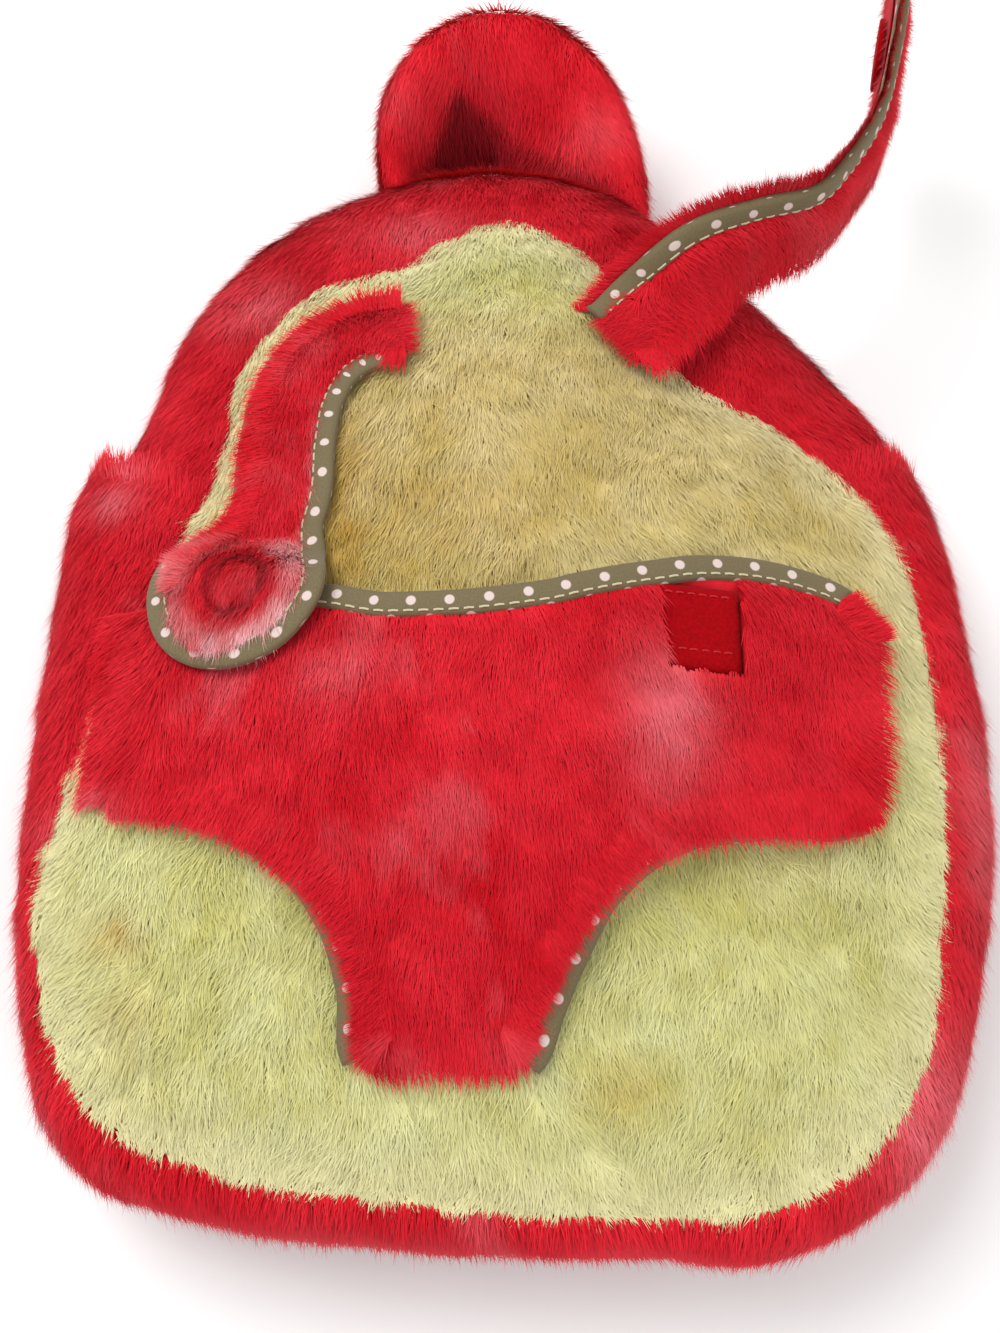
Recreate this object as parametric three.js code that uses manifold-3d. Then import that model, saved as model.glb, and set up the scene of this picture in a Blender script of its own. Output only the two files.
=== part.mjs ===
// A plush backpack with a toy harness on its front, lying on its shoulder straps.
// Millimetres. X runs to the right, Y towards the bag's top and Z up out of its front.
import * as THREE from "three";
import { mergeVertices } from "three/addons/utils/BufferGeometryUtils.js";
import Module from "manifold-3d";

const wasm = await Module();
wasm.setup();

// Bag body
const bagWidth = 312;
const bagHeight = 378;
const seamRise = 57; // from the back face to the front seam
const rimRise = 33; // from the back face to the widest line
const topSink = 6; // how much lower the front seam lies at the top
const panelDome = 24;
const domePower = 2.5;
const plushWall = 7;
const backWall = 6;
const backInset = 16; // from the widest line in to the back seam
const seamGap = 0.4;
const facet = 7.5; // degrees of bearing, shared by all that meets at a seam

// Zip across the top half
const zipFrom = 22.5; // bearings in degrees, at facet edges
const zipTo = 157.5;
const zipRise = 24; // from the back face to the middle of the chain
const zipWidth = 6.4;
const zipOuterDepth = 0.3; // shares of the wall
const zipInnerDepth = 0.75;
const sliderLength = 11;
const sliderThickness = 3.2;
const pullLength = 22;
const pullThickness = 1.6;
const sliderBearing = 31;
const sideGap = 0.3;
const leftPuff = 6; // how far the lower gusset swells past the upper one
const rightPuff = 3;
const upperTuck = 4;
const puffSpread = 13; // degrees
const pullSpace = 1.2; // between the slider and its pull
const formFade = 4; // power with which the panel's hollows and swells end at its seam

// Grab handle
const handleSpan = 73;
const handleRise = 71;
const handleFoot = 181; // from the bag's centre to the feet
const handleRootRise = 12; // from the back face
const handleLift = 17;
const handleWidth = 44;
const handleThickness = 16;
const tableStep = 0.01; // share of a line over which its direction is read

// Harness
const harnessWidth = 240;
const harnessDrop = 145;
const harnessTop = 5; // above the bag's centre
const harnessWall = 7;
const harnessLift = 12; // room for the toy behind the middle
const harnessFlat = 0.42; // share of its width at which it lies down on the panel
const harnessSewnFrom = 0.3; // shares of its drop over which it comes down to its foot
const harnessSewnTo = 0.95;
const edgeRounding = 0.35; // share of a plush piece's thickness lost at its edges
const layGap = 0.6; // between cloth and the panel that it lies on
const bindingWidth = 6.6;
const bindingThickness = 4.6;
const patchSize = 27;
const patchThickness = 1.5;
const patchSink = 4; // depth of its bare square in the pile
const patchCutGap = 0.4;
const patchRightX = 61;
const patchLeftX = -88;
const patchRightDrop = 16.5; // below the harness top line
const patchLeftDrop = 15.5;
const tabDiameter = 25;
const strapWidth = 20; // between the bindings
const strapThickness = 7;
const strapEndRadius = 23;
const strapFlare = 28; // length over which it widens to its round end
const strapClimb = 14; // length of its slope up onto the band
const freeStrapDrape = 16;

// Shoulder straps
const padWidth = 42;
const padThickness = 9;
const padEdge = 4.5;
const adjusterWidth = 30;
const adjusterBar = 3;
const adjusterSlot = 8;
const adjusterThickness = 2.7;
const adjusterLevel = 3.2;
const webbingWidth = 20;
const webbingThickness = 1.4;
const webbingSeamBearing = 309;

const backZ = padThickness + seamGap;
const rimZ = backZ + rimRise;
const zipZ = backZ + zipRise;
const quarterTurn = Math.PI / 2;

// Reach of the front seam and of the widest line, as shares of the half sizes.
const outline = [
  { bearing: 0, seam: 0.87, rim: 1.0 },
  { bearing: 15, seam: 0.83, rim: 0.98 },
  { bearing: 30, seam: 0.74, rim: 0.95 },
  { bearing: 45, seam: 0.66, rim: 0.93 },
  { bearing: 60, seam: 0.67, rim: 0.95 },
  { bearing: 75, seam: 0.8, rim: 1.01 },
  { bearing: 90, seam: 0.86, rim: 1.03 },
  { bearing: 105, seam: 0.79, rim: 1.03 },
  { bearing: 120, seam: 0.81, rim: 1.02 },
  { bearing: 135, seam: 0.79, rim: 0.99 },
  { bearing: 150, seam: 0.69, rim: 0.94 },
  { bearing: 165, seam: 0.69, rim: 0.96 },
  { bearing: 180, seam: 0.75, rim: 0.97 },
  { bearing: 195, seam: 0.88, rim: 1.01 },
  { bearing: 210, seam: 1.03, rim: 1.1 },
  { bearing: 225, seam: 1.09, rim: 1.19 },
  { bearing: 240, seam: 1.01, rim: 1.09 },
  { bearing: 255, seam: 0.94, rim: 1.01 },
  { bearing: 270, seam: 0.93, rim: 0.99 },
  { bearing: 285, seam: 0.97, rim: 1.03 },
  { bearing: 300, seam: 1.06, rim: 1.14 },
  { bearing: 315, seam: 1.08, rim: 1.18 },
  { bearing: 330, seam: 0.98, rim: 1.11 },
  { bearing: 345, seam: 0.91, rim: 1.05 },
];

// Hollows and swells of the front panel, as shares of the half sizes and of the dome.
const panelForms = [
  { x: -0.72, y: -0.55, size: 0.14, rise: -0.13 },
  { x: -0.42, y: 0.42, size: 0.26, rise: -0.12 },
  { x: 0.55, y: -0.62, size: 0.3, rise: 0.08 },
  { x: -0.45, y: -0.78, size: 0.22, rise: 0.06 },
  { x: 0.1, y: 0.62, size: 0.22, rise: 0.06 },
  { x: 0.1, y: -0.72, size: 0.16, rise: -0.06 },
];

// Centre line of the handle, as shares of its span, rise and lift.
const handleLine = [
  { across: -0.47, along: -0.02, lift: 0.0, wide: 0.75, thick: 0.85, twist: 80 },
  { across: -0.47, along: 0.34, lift: 0.5, wide: 1.0, thick: 0.9, twist: 68 },
  { across: -0.36, along: 0.62, lift: 0.85, wide: 1.14, thick: 1.0, twist: 56 },
  { across: -0.16, along: 0.81, lift: 1.0, wide: 1.26, thick: 1.0, twist: 48 },
  { across: 0.07, along: 0.83, lift: 1.0, wide: 1.3, thick: 1.0, twist: 44 },
  { across: 0.27, along: 0.68, lift: 0.95, wide: 1.24, thick: 1.0, twist: 40 },
  { across: 0.42, along: 0.45, lift: 0.75, wide: 1.08, thick: 1.0, twist: 34 },
  { across: 0.53, along: 0.2, lift: 0.4, wide: 0.9, thick: 0.95, twist: 36 },
  { across: 0.6, along: -0.04, lift: 0.0, wide: 0.75, thick: 0.85, twist: 60 },
];

// The harness from its left end to its right: a point of its top edge and one of its lower edge.
const harnessSections = [
  { topX: -1.03, topDrop: 0.01, lowX: -1.05, lowDrop: 0.44 },
  { topX: -0.85, topDrop: -0.01, lowX: -0.87, lowDrop: 0.45 },
  { topX: -0.67, topDrop: 0.01, lowX: -0.67, lowDrop: 0.5 },
  { topX: -0.52, topDrop: 0.05, lowX: -0.49, lowDrop: 0.59 },
  { topX: -0.42, topDrop: 0.07, lowX: -0.38, lowDrop: 0.71 },
  { topX: -0.34, topDrop: 0.09, lowX: -0.33, lowDrop: 0.84 },
  { topX: -0.26, topDrop: 0.1, lowX: -0.31, lowDrop: 0.97 },
  { topX: -0.08, topDrop: 0.1, lowX: -0.14, lowDrop: 0.975 },
  { topX: 0.11, topDrop: 0.08, lowX: 0.04, lowDrop: 0.97 },
  { topX: 0.2, topDrop: 0.06, lowX: 0.1, lowDrop: 0.87 },
  { topX: 0.29, topDrop: 0.04, lowX: 0.16, lowDrop: 0.76 },
  { topX: 0.39, topDrop: 0.02, lowX: 0.25, lowDrop: 0.64 },
  { topX: 0.52, topDrop: -0.005, lowX: 0.42, lowDrop: 0.54 },
  { topX: 0.7, topDrop: -0.015, lowX: 0.67, lowDrop: 0.5 },
  { topX: 0.87, topDrop: 0.01, lowX: 0.84, lowDrop: 0.49 },
  { topX: 0.98, topDrop: 0.08, lowX: 0.95, lowDrop: 0.45 },
];

// The fastened strap from its root: run towards its patch and bow to the left, as shares of that way.
const fastenedRoot = { x: -0.21, y: 0.555 };
const fastenedLine = [
  { run: 0.0, bow: 0.0 },
  { run: 0.064, bow: 0.1 },
  { run: 0.177, bow: 0.159 },
  { run: 0.314, bow: 0.155 },
  { run: 0.455, bow: 0.107 },
  { run: 0.582, bow: 0.048 },
  { run: 0.691, bow: 0.023 },
  { run: 0.782, bow: 0.015 },
  { run: 0.873, bow: 0.007 },
  { run: 0.96, bow: -0.002 },
  { run: 1.04, bow: -0.008 },
];

// The free strap from its root: shares of the half sizes, of its drape, and its turn about its length.
const freeLine = [
  { x: 0.27, y: 0.545, lift: 0.0, turn: 0 },
  { x: 0.35, y: 0.61, lift: 0.3, turn: 20 },
  { x: 0.43, y: 0.68, lift: 0.65, turn: 52 },
  { x: 0.56, y: 0.745, lift: 0.7, turn: 74 },
  { x: 0.68, y: 0.79, lift: 0.6, turn: 82 },
  { x: 0.75, y: 0.86, lift: 0.5, turn: 84 },
  { x: 0.83, y: 0.97, lift: 0.4, turn: 84 },
  { x: 0.875, y: 1.08, lift: 0.35, turn: 84 },
  { x: 0.91, y: 1.22, lift: 0.3, turn: 84 },
  { x: 0.92, y: 1.3, lift: 0.25, turn: 84 },
];

// Middle of a shoulder strap, as shares of the half sizes and of its width.
const padLine = [
  { x: 0.24, y: 0.835, wide: 0.86 },
  { x: 0.32, y: 0.68, wide: 1.0 },
  { x: 0.4, y: 0.52, wide: 1.0 },
  { x: 0.48, y: 0.3, wide: 1.0 },
  { x: 0.53, y: 0.08, wide: 1.0 },
  { x: 0.55, y: -0.15, wide: 1.0 },
  { x: 0.555, y: -0.33, wide: 0.9 },
  { x: 0.555, y: -0.464, wide: 0.62 },
];

// Colours
const redPlush = { color: 0xd9182b, roughness: 0.95, metalness: 0 };
const yellowPlush = { color: 0xe9e08a, roughness: 0.95, metalness: 0 };
const dottedTape = { color: 0x7d7358, roughness: 0.85, metalness: 0 };
const loopFelt = { color: 0xb00d1c, roughness: 0.95, metalness: 0 };
const redWebbing = { color: 0xb81524, roughness: 0.85, metalness: 0 };
const redPlastic = { color: 0xa81220, roughness: 0.5, metalness: 0 };

function cubic(a, b, c, d, share) {
  const slopeIn = (c - a) / 2;
  const slopeOut = (d - b) / 2;
  const square = 3 * (c - b) - 2 * slopeIn - slopeOut;
  const cube = 2 * (b - c) + slopeIn + slopeOut;
  return b + share * (slopeIn + share * (square + share * cube));
}

// A smooth reading of one column of a table, from its first row at 0 to its last at 1.
function readTable(rows, column, share) {
  const place = THREE.MathUtils.clamp(share, 0, 1) * (rows.length - 1);
  const row = Math.min(Math.floor(place), rows.length - 2);
  const value = (index) => rows[THREE.MathUtils.clamp(index, 0, rows.length - 1)][column];
  return cubic(value(row - 1), value(row), value(row + 1), value(row + 2), place - row);
}

function readOutline(bearing, column) {
  const place = THREE.MathUtils.euclideanModulo(bearing / 360, 1) * outline.length;
  const row = Math.floor(place);
  const value = (index) => outline[THREE.MathUtils.euclideanModulo(index, outline.length)][column];
  return cubic(value(row - 1), value(row), value(row + 1), value(row + 2), place - row);
}

// A millimetre along a bearing, as a share of the half sizes.
function shareOf(millimetres, bearing) {
  const angle = THREE.MathUtils.degToRad(bearing);
  return millimetres / Math.hypot(bagWidth / 2 * Math.cos(angle), bagHeight / 2 * Math.sin(angle));
}

function bagPoint(bearing, reach, z) {
  const angle = THREE.MathUtils.degToRad(bearing);
  const x = bagWidth / 2 * reach * Math.cos(angle);
  return new THREE.Vector3(x, bagHeight / 2 * reach * Math.sin(angle), z);
}

function seamHeight(y) {
  return backZ + seamRise - topSink * THREE.MathUtils.smoothstep(y, 0, bagHeight / 2);
}

function panelHeight(x, y, fullness) {
  let rise = 1 - fullness ** domePower;
  for (const form of panelForms) {
    const away = Math.hypot(x / (bagWidth / 2) - form.x, y / (bagHeight / 2) - form.y) / form.size;
    rise += form.rise * Math.exp(-(away ** 2)) * (1 - fullness ** formFade);
  }
  return seamHeight(y) + panelDome * rise;
}

// Height of the bag's front over a point of the floor.
function frontHeight(x, y) {
  const acrossShare = x / (bagWidth / 2);
  const alongShare = y / (bagHeight / 2);
  const bearing = THREE.MathUtils.radToDeg(Math.atan2(alongShare, acrossShare));
  const reach = Math.hypot(acrossShare, alongShare);
  const seam = readOutline(bearing, "seam");
  if (reach <= seam) {
    return panelHeight(x, y, reach / seam);
  }
  const slope = Math.min((reach - seam) / (readOutline(bearing, "rim") - seam), 1);
  return rimZ + (seamHeight(y) - rimZ) * Math.sqrt(1 - slope ** 2);
}

// One closed body from points and corner indices, with its faces turned outwards.
function closedBody(points, corners) {
  const rough = new THREE.BufferGeometry();
  const values = points.flatMap((p) => [p.x, p.y, p.z]);
  rough.setAttribute("position", new THREE.Float32BufferAttribute(values, 3));
  rough.setIndex(corners);
  const merged = mergeVertices(rough, 1e-3);
  const position = merged.attributes.position;
  const index = merged.index.array;
  const kept = [];
  let volume = 0;
  const [a, b, c] = [new THREE.Vector3(), new THREE.Vector3(), new THREE.Vector3()];
  for (let i = 0; i < index.length; i += 3) {
    const [p, q, r] = [index[i], index[i + 1], index[i + 2]];
    if (p === q || q === r || r === p) continue;
    kept.push(p, q, r);
    a.fromBufferAttribute(position, p);
    b.fromBufferAttribute(position, q);
    c.fromBufferAttribute(position, r);
    volume += a.dot(b.cross(c));
  }
  merged.setIndex(volume > 0 ? kept : kept.reverse());
  merged.computeVertexNormals();
  return merged;
}

// A wall between an outer and an inner sheet, each a function of shares along and across.
function wallBetween(outer, inner, along, across, joined = false) {
  const points = [];
  const corners = [];
  for (const sheet of [outer, inner]) {
    for (let i = 0; i <= along; i += 1) {
      for (let j = 0; j <= across; j += 1) {
        points.push(sheet(i / along, (joined ? j % across : j) / across));
      }
    }
  }
  const at = (sheet, i, j) => (sheet * (along + 1) + i) * (across + 1) + j;
  const quad = (a, b, c, d) => corners.push(a, b, c, a, c, d);
  for (let i = 0; i < along; i += 1) {
    for (let j = 0; j < across; j += 1) {
      quad(at(0, i, j), at(0, i + 1, j), at(0, i + 1, j + 1), at(0, i, j + 1));
      quad(at(1, i, j), at(1, i, j + 1), at(1, i + 1, j + 1), at(1, i + 1, j));
    }
    if (!joined) {
      quad(at(0, i + 1, 0), at(0, i, 0), at(1, i, 0), at(1, i + 1, 0));
      quad(at(0, i, across), at(0, i + 1, across), at(1, i + 1, across), at(1, i, across));
    }
  }
  for (let j = 0; j < across; j += 1) {
    quad(at(0, 0, j), at(0, 0, j + 1), at(1, 0, j + 1), at(1, 0, j));
    quad(at(0, along, j + 1), at(0, along, j), at(1, along, j), at(1, along, j + 1));
  }
  return closedBody(points, corners);
}

// A closed skin over rings of points, each end closed to its ring's middle.
function skinOver(rings) {
  const sumOf = (ring) => ring.reduce((sum, p) => sum.add(p), new THREE.Vector3());
  const middle = (ring) => sumOf(ring).divideScalar(ring.length);
  const around = rings[0].length;
  const points = [...rings.flat(), middle(rings[0]), middle(rings[rings.length - 1])];
  const corners = [];
  const at = (i, j) => i * around + (j % around);
  const first = rings.length * around;
  for (let j = 0; j < around; j += 1) {
    for (let i = 0; i < rings.length - 1; i += 1) {
      corners.push(at(i, j), at(i + 1, j), at(i + 1, j + 1), at(i, j), at(i + 1, j + 1), at(i, j + 1));
    }
    corners.push(at(0, j), at(0, j + 1), first);
    corners.push(at(rings.length - 1, j + 1), at(rings.length - 1, j), first + 1);
  }
  return closedBody(points, corners);
}

// Corners of a full oval, from -1 to 1 each way; a higher power is squarer.
function ovalSection(sides, power) {
  return Array.from({ length: sides }, (_, k) => {
    const angle = (k + 0.5) / sides * 2 * Math.PI;
    const square = (value) => Math.sign(value) * Math.abs(value) ** (2 / power);
    return new THREE.Vector2(square(Math.cos(angle)), square(Math.sin(angle)));
  });
}

function toManifold(geometry) {
  const plain = new THREE.BufferGeometry();
  plain.setAttribute("position", geometry.attributes.position.clone());
  if (geometry.index) plain.setIndex(geometry.index.clone());
  const merged = mergeVertices(plain, 1e-4);
  const mesh = new wasm.Mesh({
    numProp: 3,
    vertProperties: new Float32Array(merged.attributes.position.array),
    triVerts: new Uint32Array(merged.index.array),
  });
  return new wasm.Manifold(mesh);
}

function cutAway(geometry, ...cutters) {
  let solid = toManifold(geometry);
  for (const cutter of cutters) {
    solid = solid.subtract(toManifold(cutter));
  }
  const mesh = solid.getMesh();
  const result = new THREE.BufferGeometry();
  result.setAttribute("position", new THREE.BufferAttribute(new Float32Array(mesh.vertProperties), 3));
  result.setIndex([...mesh.triVerts]);
  result.computeVertexNormals();
  return result;
}

const group = new THREE.Group();

function addPiece(name, geometry, finish) {
  const piece = new THREE.Mesh(geometry, new THREE.MeshStandardMaterial(finish));
  piece.name = name;
  group.add(piece);
  return piece;
}

// Front panel: a domed plush wall inside the front seam.
function frontPanel() {
  const sheet = (drop) => (fullness, turn) => {
    const bearing = 360 * turn;
    const point = bagPoint(bearing, fullness * readOutline(bearing, "seam"), 0);
    point.z = panelHeight(point.x, point.y, fullness) - drop;
    return point;
  };
  return wallBetween(sheet(0), sheet(plushWall), 9, 360 / facet, true);
}

// Back panel: a flat padded wall inside the back seam.
function backPanel() {
  const sheet = (z) => (fullness, turn) => {
    const bearing = 360 * turn;
    const reach = readOutline(bearing, "rim") - shareOf(backInset, bearing);
    return bagPoint(bearing, fullness * reach, z);
  };
  return wallBetween(sheet(backZ + backWall), sheet(backZ), 1, 360 / facet, true);
}

// The gusset's section: a quarter round from the front seam to the rim, and one from there to the
// back seam. Depth goes from 0 on its outer face to 1 on its inner face.
function gussetPoint(bearing, turn, depth, swell) {
  const seam = readOutline(bearing, "seam") + shareOf(seamGap, bearing);
  const rim = readOutline(bearing, "rim") + shareOf(swell - depth * plushWall, bearing);
  const back = readOutline(bearing, "rim") - shareOf(backInset - seamGap, bearing);
  const angle = Math.PI * turn;
  const front = angle < quarterTurn;
  const inner = front ? seam : back;
  const frontEnd = seamHeight(bagPoint(bearing, seam, 0).y) - depth * plushWall;
  const end = front ? frontEnd : backZ + depth * backWall;
  const reach = inner + (rim - inner) * Math.sin(angle);
  return bagPoint(bearing, reach, rimZ + (end - rimZ) * Math.abs(Math.cos(angle)));
}

// Share of the gusset's section at which its back quarter reaches a height.
function turnAtHeight(z) {
  return 0.5 + Math.asin((rimZ - z) / rimRise) / Math.PI;
}

function swellBeside(bearing, at, amount) {
  return amount * Math.exp(-(((bearing - at) / puffSpread) ** 2));
}

function lowerSwell(bearing) {
  return swellBeside(bearing, zipTo, leftPuff) + swellBeside(bearing, zipFrom + 360, rightPuff);
}

function upperSwell(bearing) {
  return -swellBeside(bearing, zipTo, upperTuck);
}

function gussetPart(fromBearing, toBearing, fromTurn, toTurn, swell, across) {
  const sheet = (depth) => (along, turn) => {
    const bearing = THREE.MathUtils.lerp(fromBearing, toBearing, along);
    return gussetPoint(bearing, THREE.MathUtils.lerp(fromTurn, toTurn, turn), depth, swell(bearing));
  };
  return wallBetween(sheet(0), sheet(1), Math.round((toBearing - fromBearing) / facet), across);
}

const zipFrontTurn = turnAtHeight(zipZ + zipWidth / 2);
const zipBackTurn = turnAtHeight(zipZ - zipWidth / 2);
const turnGap = seamGap / (rimRise * Math.PI);
const endGap = THREE.MathUtils.radToDeg(seamGap / (bagWidth / 2));

function zipChain() {
  const sheet = (depth) => (along, across) => {
    const bearing = THREE.MathUtils.lerp(zipFrom + endGap, zipTo - endGap, along);
    const turn = THREE.MathUtils.lerp(zipFrontTurn + turnGap, zipBackTurn - turnGap, across);
    return gussetPoint(bearing, turn, depth, upperSwell(bearing));
  };
  return wallBetween(sheet(zipOuterDepth), sheet(zipInnerDepth), Math.round((zipTo - zipFrom) / facet), 2);
}

// A small block on the outer face of the zip chain, from one bearing on.
function zipBlock(bearing, length, thickness, lift) {
  const turn = turnAtHeight(zipZ);
  const middle = gussetPoint(bearing, turn, zipOuterDepth, 0);
  const next = gussetPoint(bearing + 1, turn, zipOuterDepth, 0);
  const ahead = next.sub(middle).normalize();
  const out = ahead.clone().cross(new THREE.Vector3(0, 0, 1)).normalize();
  const block = new THREE.BoxGeometry(length, zipWidth - 2 * sideGap - seamGap, thickness);
  const up = new THREE.Vector3().crossVectors(out, ahead).normalize();
  block.applyMatrix4(new THREE.Matrix4().makeBasis(ahead, up, out));
  middle.addScaledVector(out, lift + thickness / 2);
  return block.translate(middle.x, middle.y, middle.z);
}

// The bag's whole outer form, a little larger, to trim what meets it.
function bagEnvelope() {
  const rings = [];
  for (let i = 0; i <= 12; i += 1) {
    const ring = [];
    for (let bearing = 0; bearing < 360; bearing += facet) {
      ring.push(gussetPoint(bearing, i / 12, 0, layGap));
    }
    rings.push(ring);
  }
  return skinOver(rings);
}

function directionAt(line, share) {
  return line(Math.min(share + tableStep, 1)).sub(line(Math.max(share - tableStep, 0))).normalize();
}

// Grab handle: a padded band carried along its centre line and turned about it.
function grabHandle() {
  const centre = (share) => new THREE.Vector3(
    handleSpan * readTable(handleLine, "across", share),
    handleFoot + handleRise * readTable(handleLine, "along", share),
    backZ + handleRootRise + handleLift * readTable(handleLine, "lift", share),
  );
  const section = ovalSection(10, 2.6);
  const rings = [];
  for (let i = 0; i <= 22; i += 1) {
    const share = i / 22;
    const ahead = directionAt(centre, share);
    const side = new THREE.Vector3(0, 0, 1).cross(ahead).normalize();
    side.applyAxisAngle(ahead, THREE.MathUtils.degToRad(readTable(handleLine, "twist", share)));
    const out = new THREE.Vector3().crossVectors(ahead, side);
    const halfWidth = handleWidth / 2 * readTable(handleLine, "wide", share);
    const halfThickness = handleThickness / 2 * readTable(handleLine, "thick", share);
    rings.push(section.map((corner) => centre(share)
      .addScaledVector(side, halfWidth * corner.x)
      .addScaledVector(out, halfThickness * corner.y)));
  }
  return cutAway(skinOver(rings), bagEnvelope());
}

// How far the harness stands off the panel: sewn down at its two ends and at its foot.
function harnessStand(x, y) {
  const fromMiddle = Math.min((x / (harnessWidth * harnessFlat)) ** 2, 1);
  const below = (harnessTop - y) / harnessDrop;
  const down = THREE.MathUtils.smoothstep(below, harnessSewnFrom, harnessSewnTo);
  return layGap + harnessLift * (1 - fromMiddle) ** 1.5 * (1 - down);
}

function harnessPlace(point, height) {
  const under = frontHeight(point.x, point.y) + harnessStand(point.x, point.y);
  return new THREE.Vector3(point.x, point.y, under + height);
}

function harnessEdge(column, share) {
  return new THREE.Vector2(
    harnessWidth / 2 * readTable(harnessSections, `${column}X`, share),
    harnessTop - harnessDrop * readTable(harnessSections, `${column}Drop`, share),
  );
}

function harnessShape() {
  const sheet = (raised) => (along, across) => {
    const point = harnessEdge("top", along).lerp(harnessEdge("low", along), across);
    const rounding = 1 - edgeRounding * Math.abs(2 * across - 1) ** 6;
    return harnessPlace(point, raised ? harnessWall * rounding : 0);
  };
  return wallBetween(sheet(true), sheet(false), 34, 8);
}

// A tape folded over a cloth edge: an oval bar outside a plane curve, on the right of its travel.
function tapeAlong(edge, place, wall, steps) {
  const section = ovalSection(6, 2.4);
  const rings = [];
  for (let i = 0; i <= steps; i += 1) {
    const share = i / steps;
    const before = edge(Math.max(share - 0.004, 0));
    const after = edge(Math.min(share + 0.004, 1));
    const outward = new THREE.Vector2(after.y - before.y, before.x - after.x).normalize();
    rings.push(section.map((corner) => {
      const away = seamGap + bindingWidth / 2 * (1 + corner.x);
      return place(edge(share).addScaledVector(outward, away), (wall + bindingThickness * corner.y) / 2);
    }));
  }
  return skinOver(rings);
}

const lastSection = harnessSections.length - 1;
const topTapeRows = [lastSection - 0.8, 2.6]; // from the right end to under the fastened strap
const leftLegRows = [0.6, 5.9];
const rightLegRows = [8.1, lastSection - 0.6];

function harnessTape(column, [fromRow, toRow], steps) {
  const edge = (share) => harnessEdge(column, THREE.MathUtils.lerp(fromRow, toRow, share) / lastSection);
  return tapeAlong(edge, harnessPlace, harnessWall, steps);
}

// Axes of the harness face at a point: across, along and out.
function harnessAxes(x, y) {
  const top = (px, py) => harnessPlace(new THREE.Vector2(px, py), harnessWall);
  const reach = patchSize / 2;
  const across = top(x + reach, y).sub(top(x - reach, y)).normalize();
  const along = top(x, y + reach).sub(top(x, y - reach)).normalize();
  const out = new THREE.Vector3().crossVectors(across, along).normalize();
  return new THREE.Matrix4().makeBasis(across, out.clone().cross(across), out).setPosition(top(x, y));
}

function patchBlock(axes, size, thickness, lowest) {
  const block = new THREE.BoxGeometry(size, size, thickness);
  return block.translate(0, 0, lowest + thickness / 2).applyMatrix4(axes);
}

function tabDisc(axes, lowest, thickness) {
  const disc = new THREE.CylinderGeometry(tabDiameter / 2, tabDiameter / 2, thickness, 24);
  return disc.rotateX(quarterTurn).translate(0, 0, lowest + thickness / 2).applyMatrix4(axes);
}

const patchRightAxes = harnessAxes(patchRightX, harnessTop - patchRightDrop);
const patchLeftAxes = harnessAxes(patchLeftX, harnessTop - patchLeftDrop);
const pocketSize = patchSize + 2 * patchCutGap;
const pocketFloor = -patchSink - patchCutGap;

// Half width of a harness strap at a distance from its round tip.
function strapHalfWidth(toTip) {
  const round = Math.sqrt(Math.max(strapEndRadius ** 2 - Math.max(strapEndRadius - toTip, 0) ** 2, 0));
  const narrowing = THREE.MathUtils.smoothstep(toTip, strapEndRadius, strapEndRadius + strapFlare);
  return THREE.MathUtils.lerp(round, strapWidth / 2, narrowing);
}

// A strap is laid out flat as length and width, and its place function bends it into space.
function strapShape(place, length) {
  const sheet = (raised) => (along, across) => {
    const run = length * (1 - (1 - along) ** 2);
    const aside = 2 * across - 1;
    const point = new THREE.Vector2(run, aside * strapHalfWidth(length - run));
    return place(point, raised ? strapThickness * (1 - edgeRounding * aside ** 4) : 0);
  };
  return wallBetween(sheet(true), sheet(false), 22, 4);
}

function strapTape(place, length) {
  const edge = (share) => {
    const along = 1 - Math.abs(2 * share - 1);
    const run = length * (1 - (1 - along) ** 2);
    const aside = share < 0.5 ? -1 : 1;
    return new THREE.Vector2(run, aside * strapHalfWidth(length - run));
  };
  return tapeAlong(edge, place, strapThickness, 44);
}

// Height on which the fastened strap lies: the panel, and past its slope the harness band.
function strapBed(x, y) {
  const share = x / harnessWidth + 0.5;
  const above = y - harnessEdge("top", share).y - bindingWidth;
  const climbed = 1 - THREE.MathUtils.smoothstep(above, 0, strapClimb);
  return frontHeight(x, y) + climbed * (harnessStand(x, y) + harnessWall) + layGap;
}

const leftRoot = new THREE.Vector2(bagWidth / 2 * fastenedRoot.x, bagHeight / 2 * fastenedRoot.y);
const leftWay = new THREE.Vector2(patchLeftX, harnessTop - patchLeftDrop).sub(leftRoot);
const leftCurve = new THREE.CatmullRomCurve3(fastenedLine.map(({ run, bow }) => new THREE.Vector3(
  leftRoot.x + leftWay.x * run + leftWay.y * bow,
  leftRoot.y + leftWay.y * run - leftWay.x * bow,
  0,
)));
const leftLength = leftCurve.getLength();

function leftStrapPlace(point, height) {
  const share = THREE.MathUtils.clamp(point.x / leftLength, 0, 1);
  const spot = leftCurve.getPointAt(share);
  const ahead = leftCurve.getTangentAt(share);
  spot.addScaledVector(ahead, point.x - share * leftLength);
  spot.addScaledVector(new THREE.Vector3(-ahead.y, ahead.x, 0), point.y);
  spot.z = strapBed(spot.x, spot.y) + height;
  return spot;
}

const freeRoot = freeLine[0];
const freeRootZ = frontHeight(bagWidth / 2 * freeRoot.x, bagHeight / 2 * freeRoot.y) + layGap;
const rightCurve = new THREE.CatmullRomCurve3(freeLine.map(({ x, y, lift }) => new THREE.Vector3(
  bagWidth / 2 * x,
  bagHeight / 2 * y,
  freeRootZ + freeStrapDrape * lift,
)));
const rightLength = rightCurve.getLength();

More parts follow.
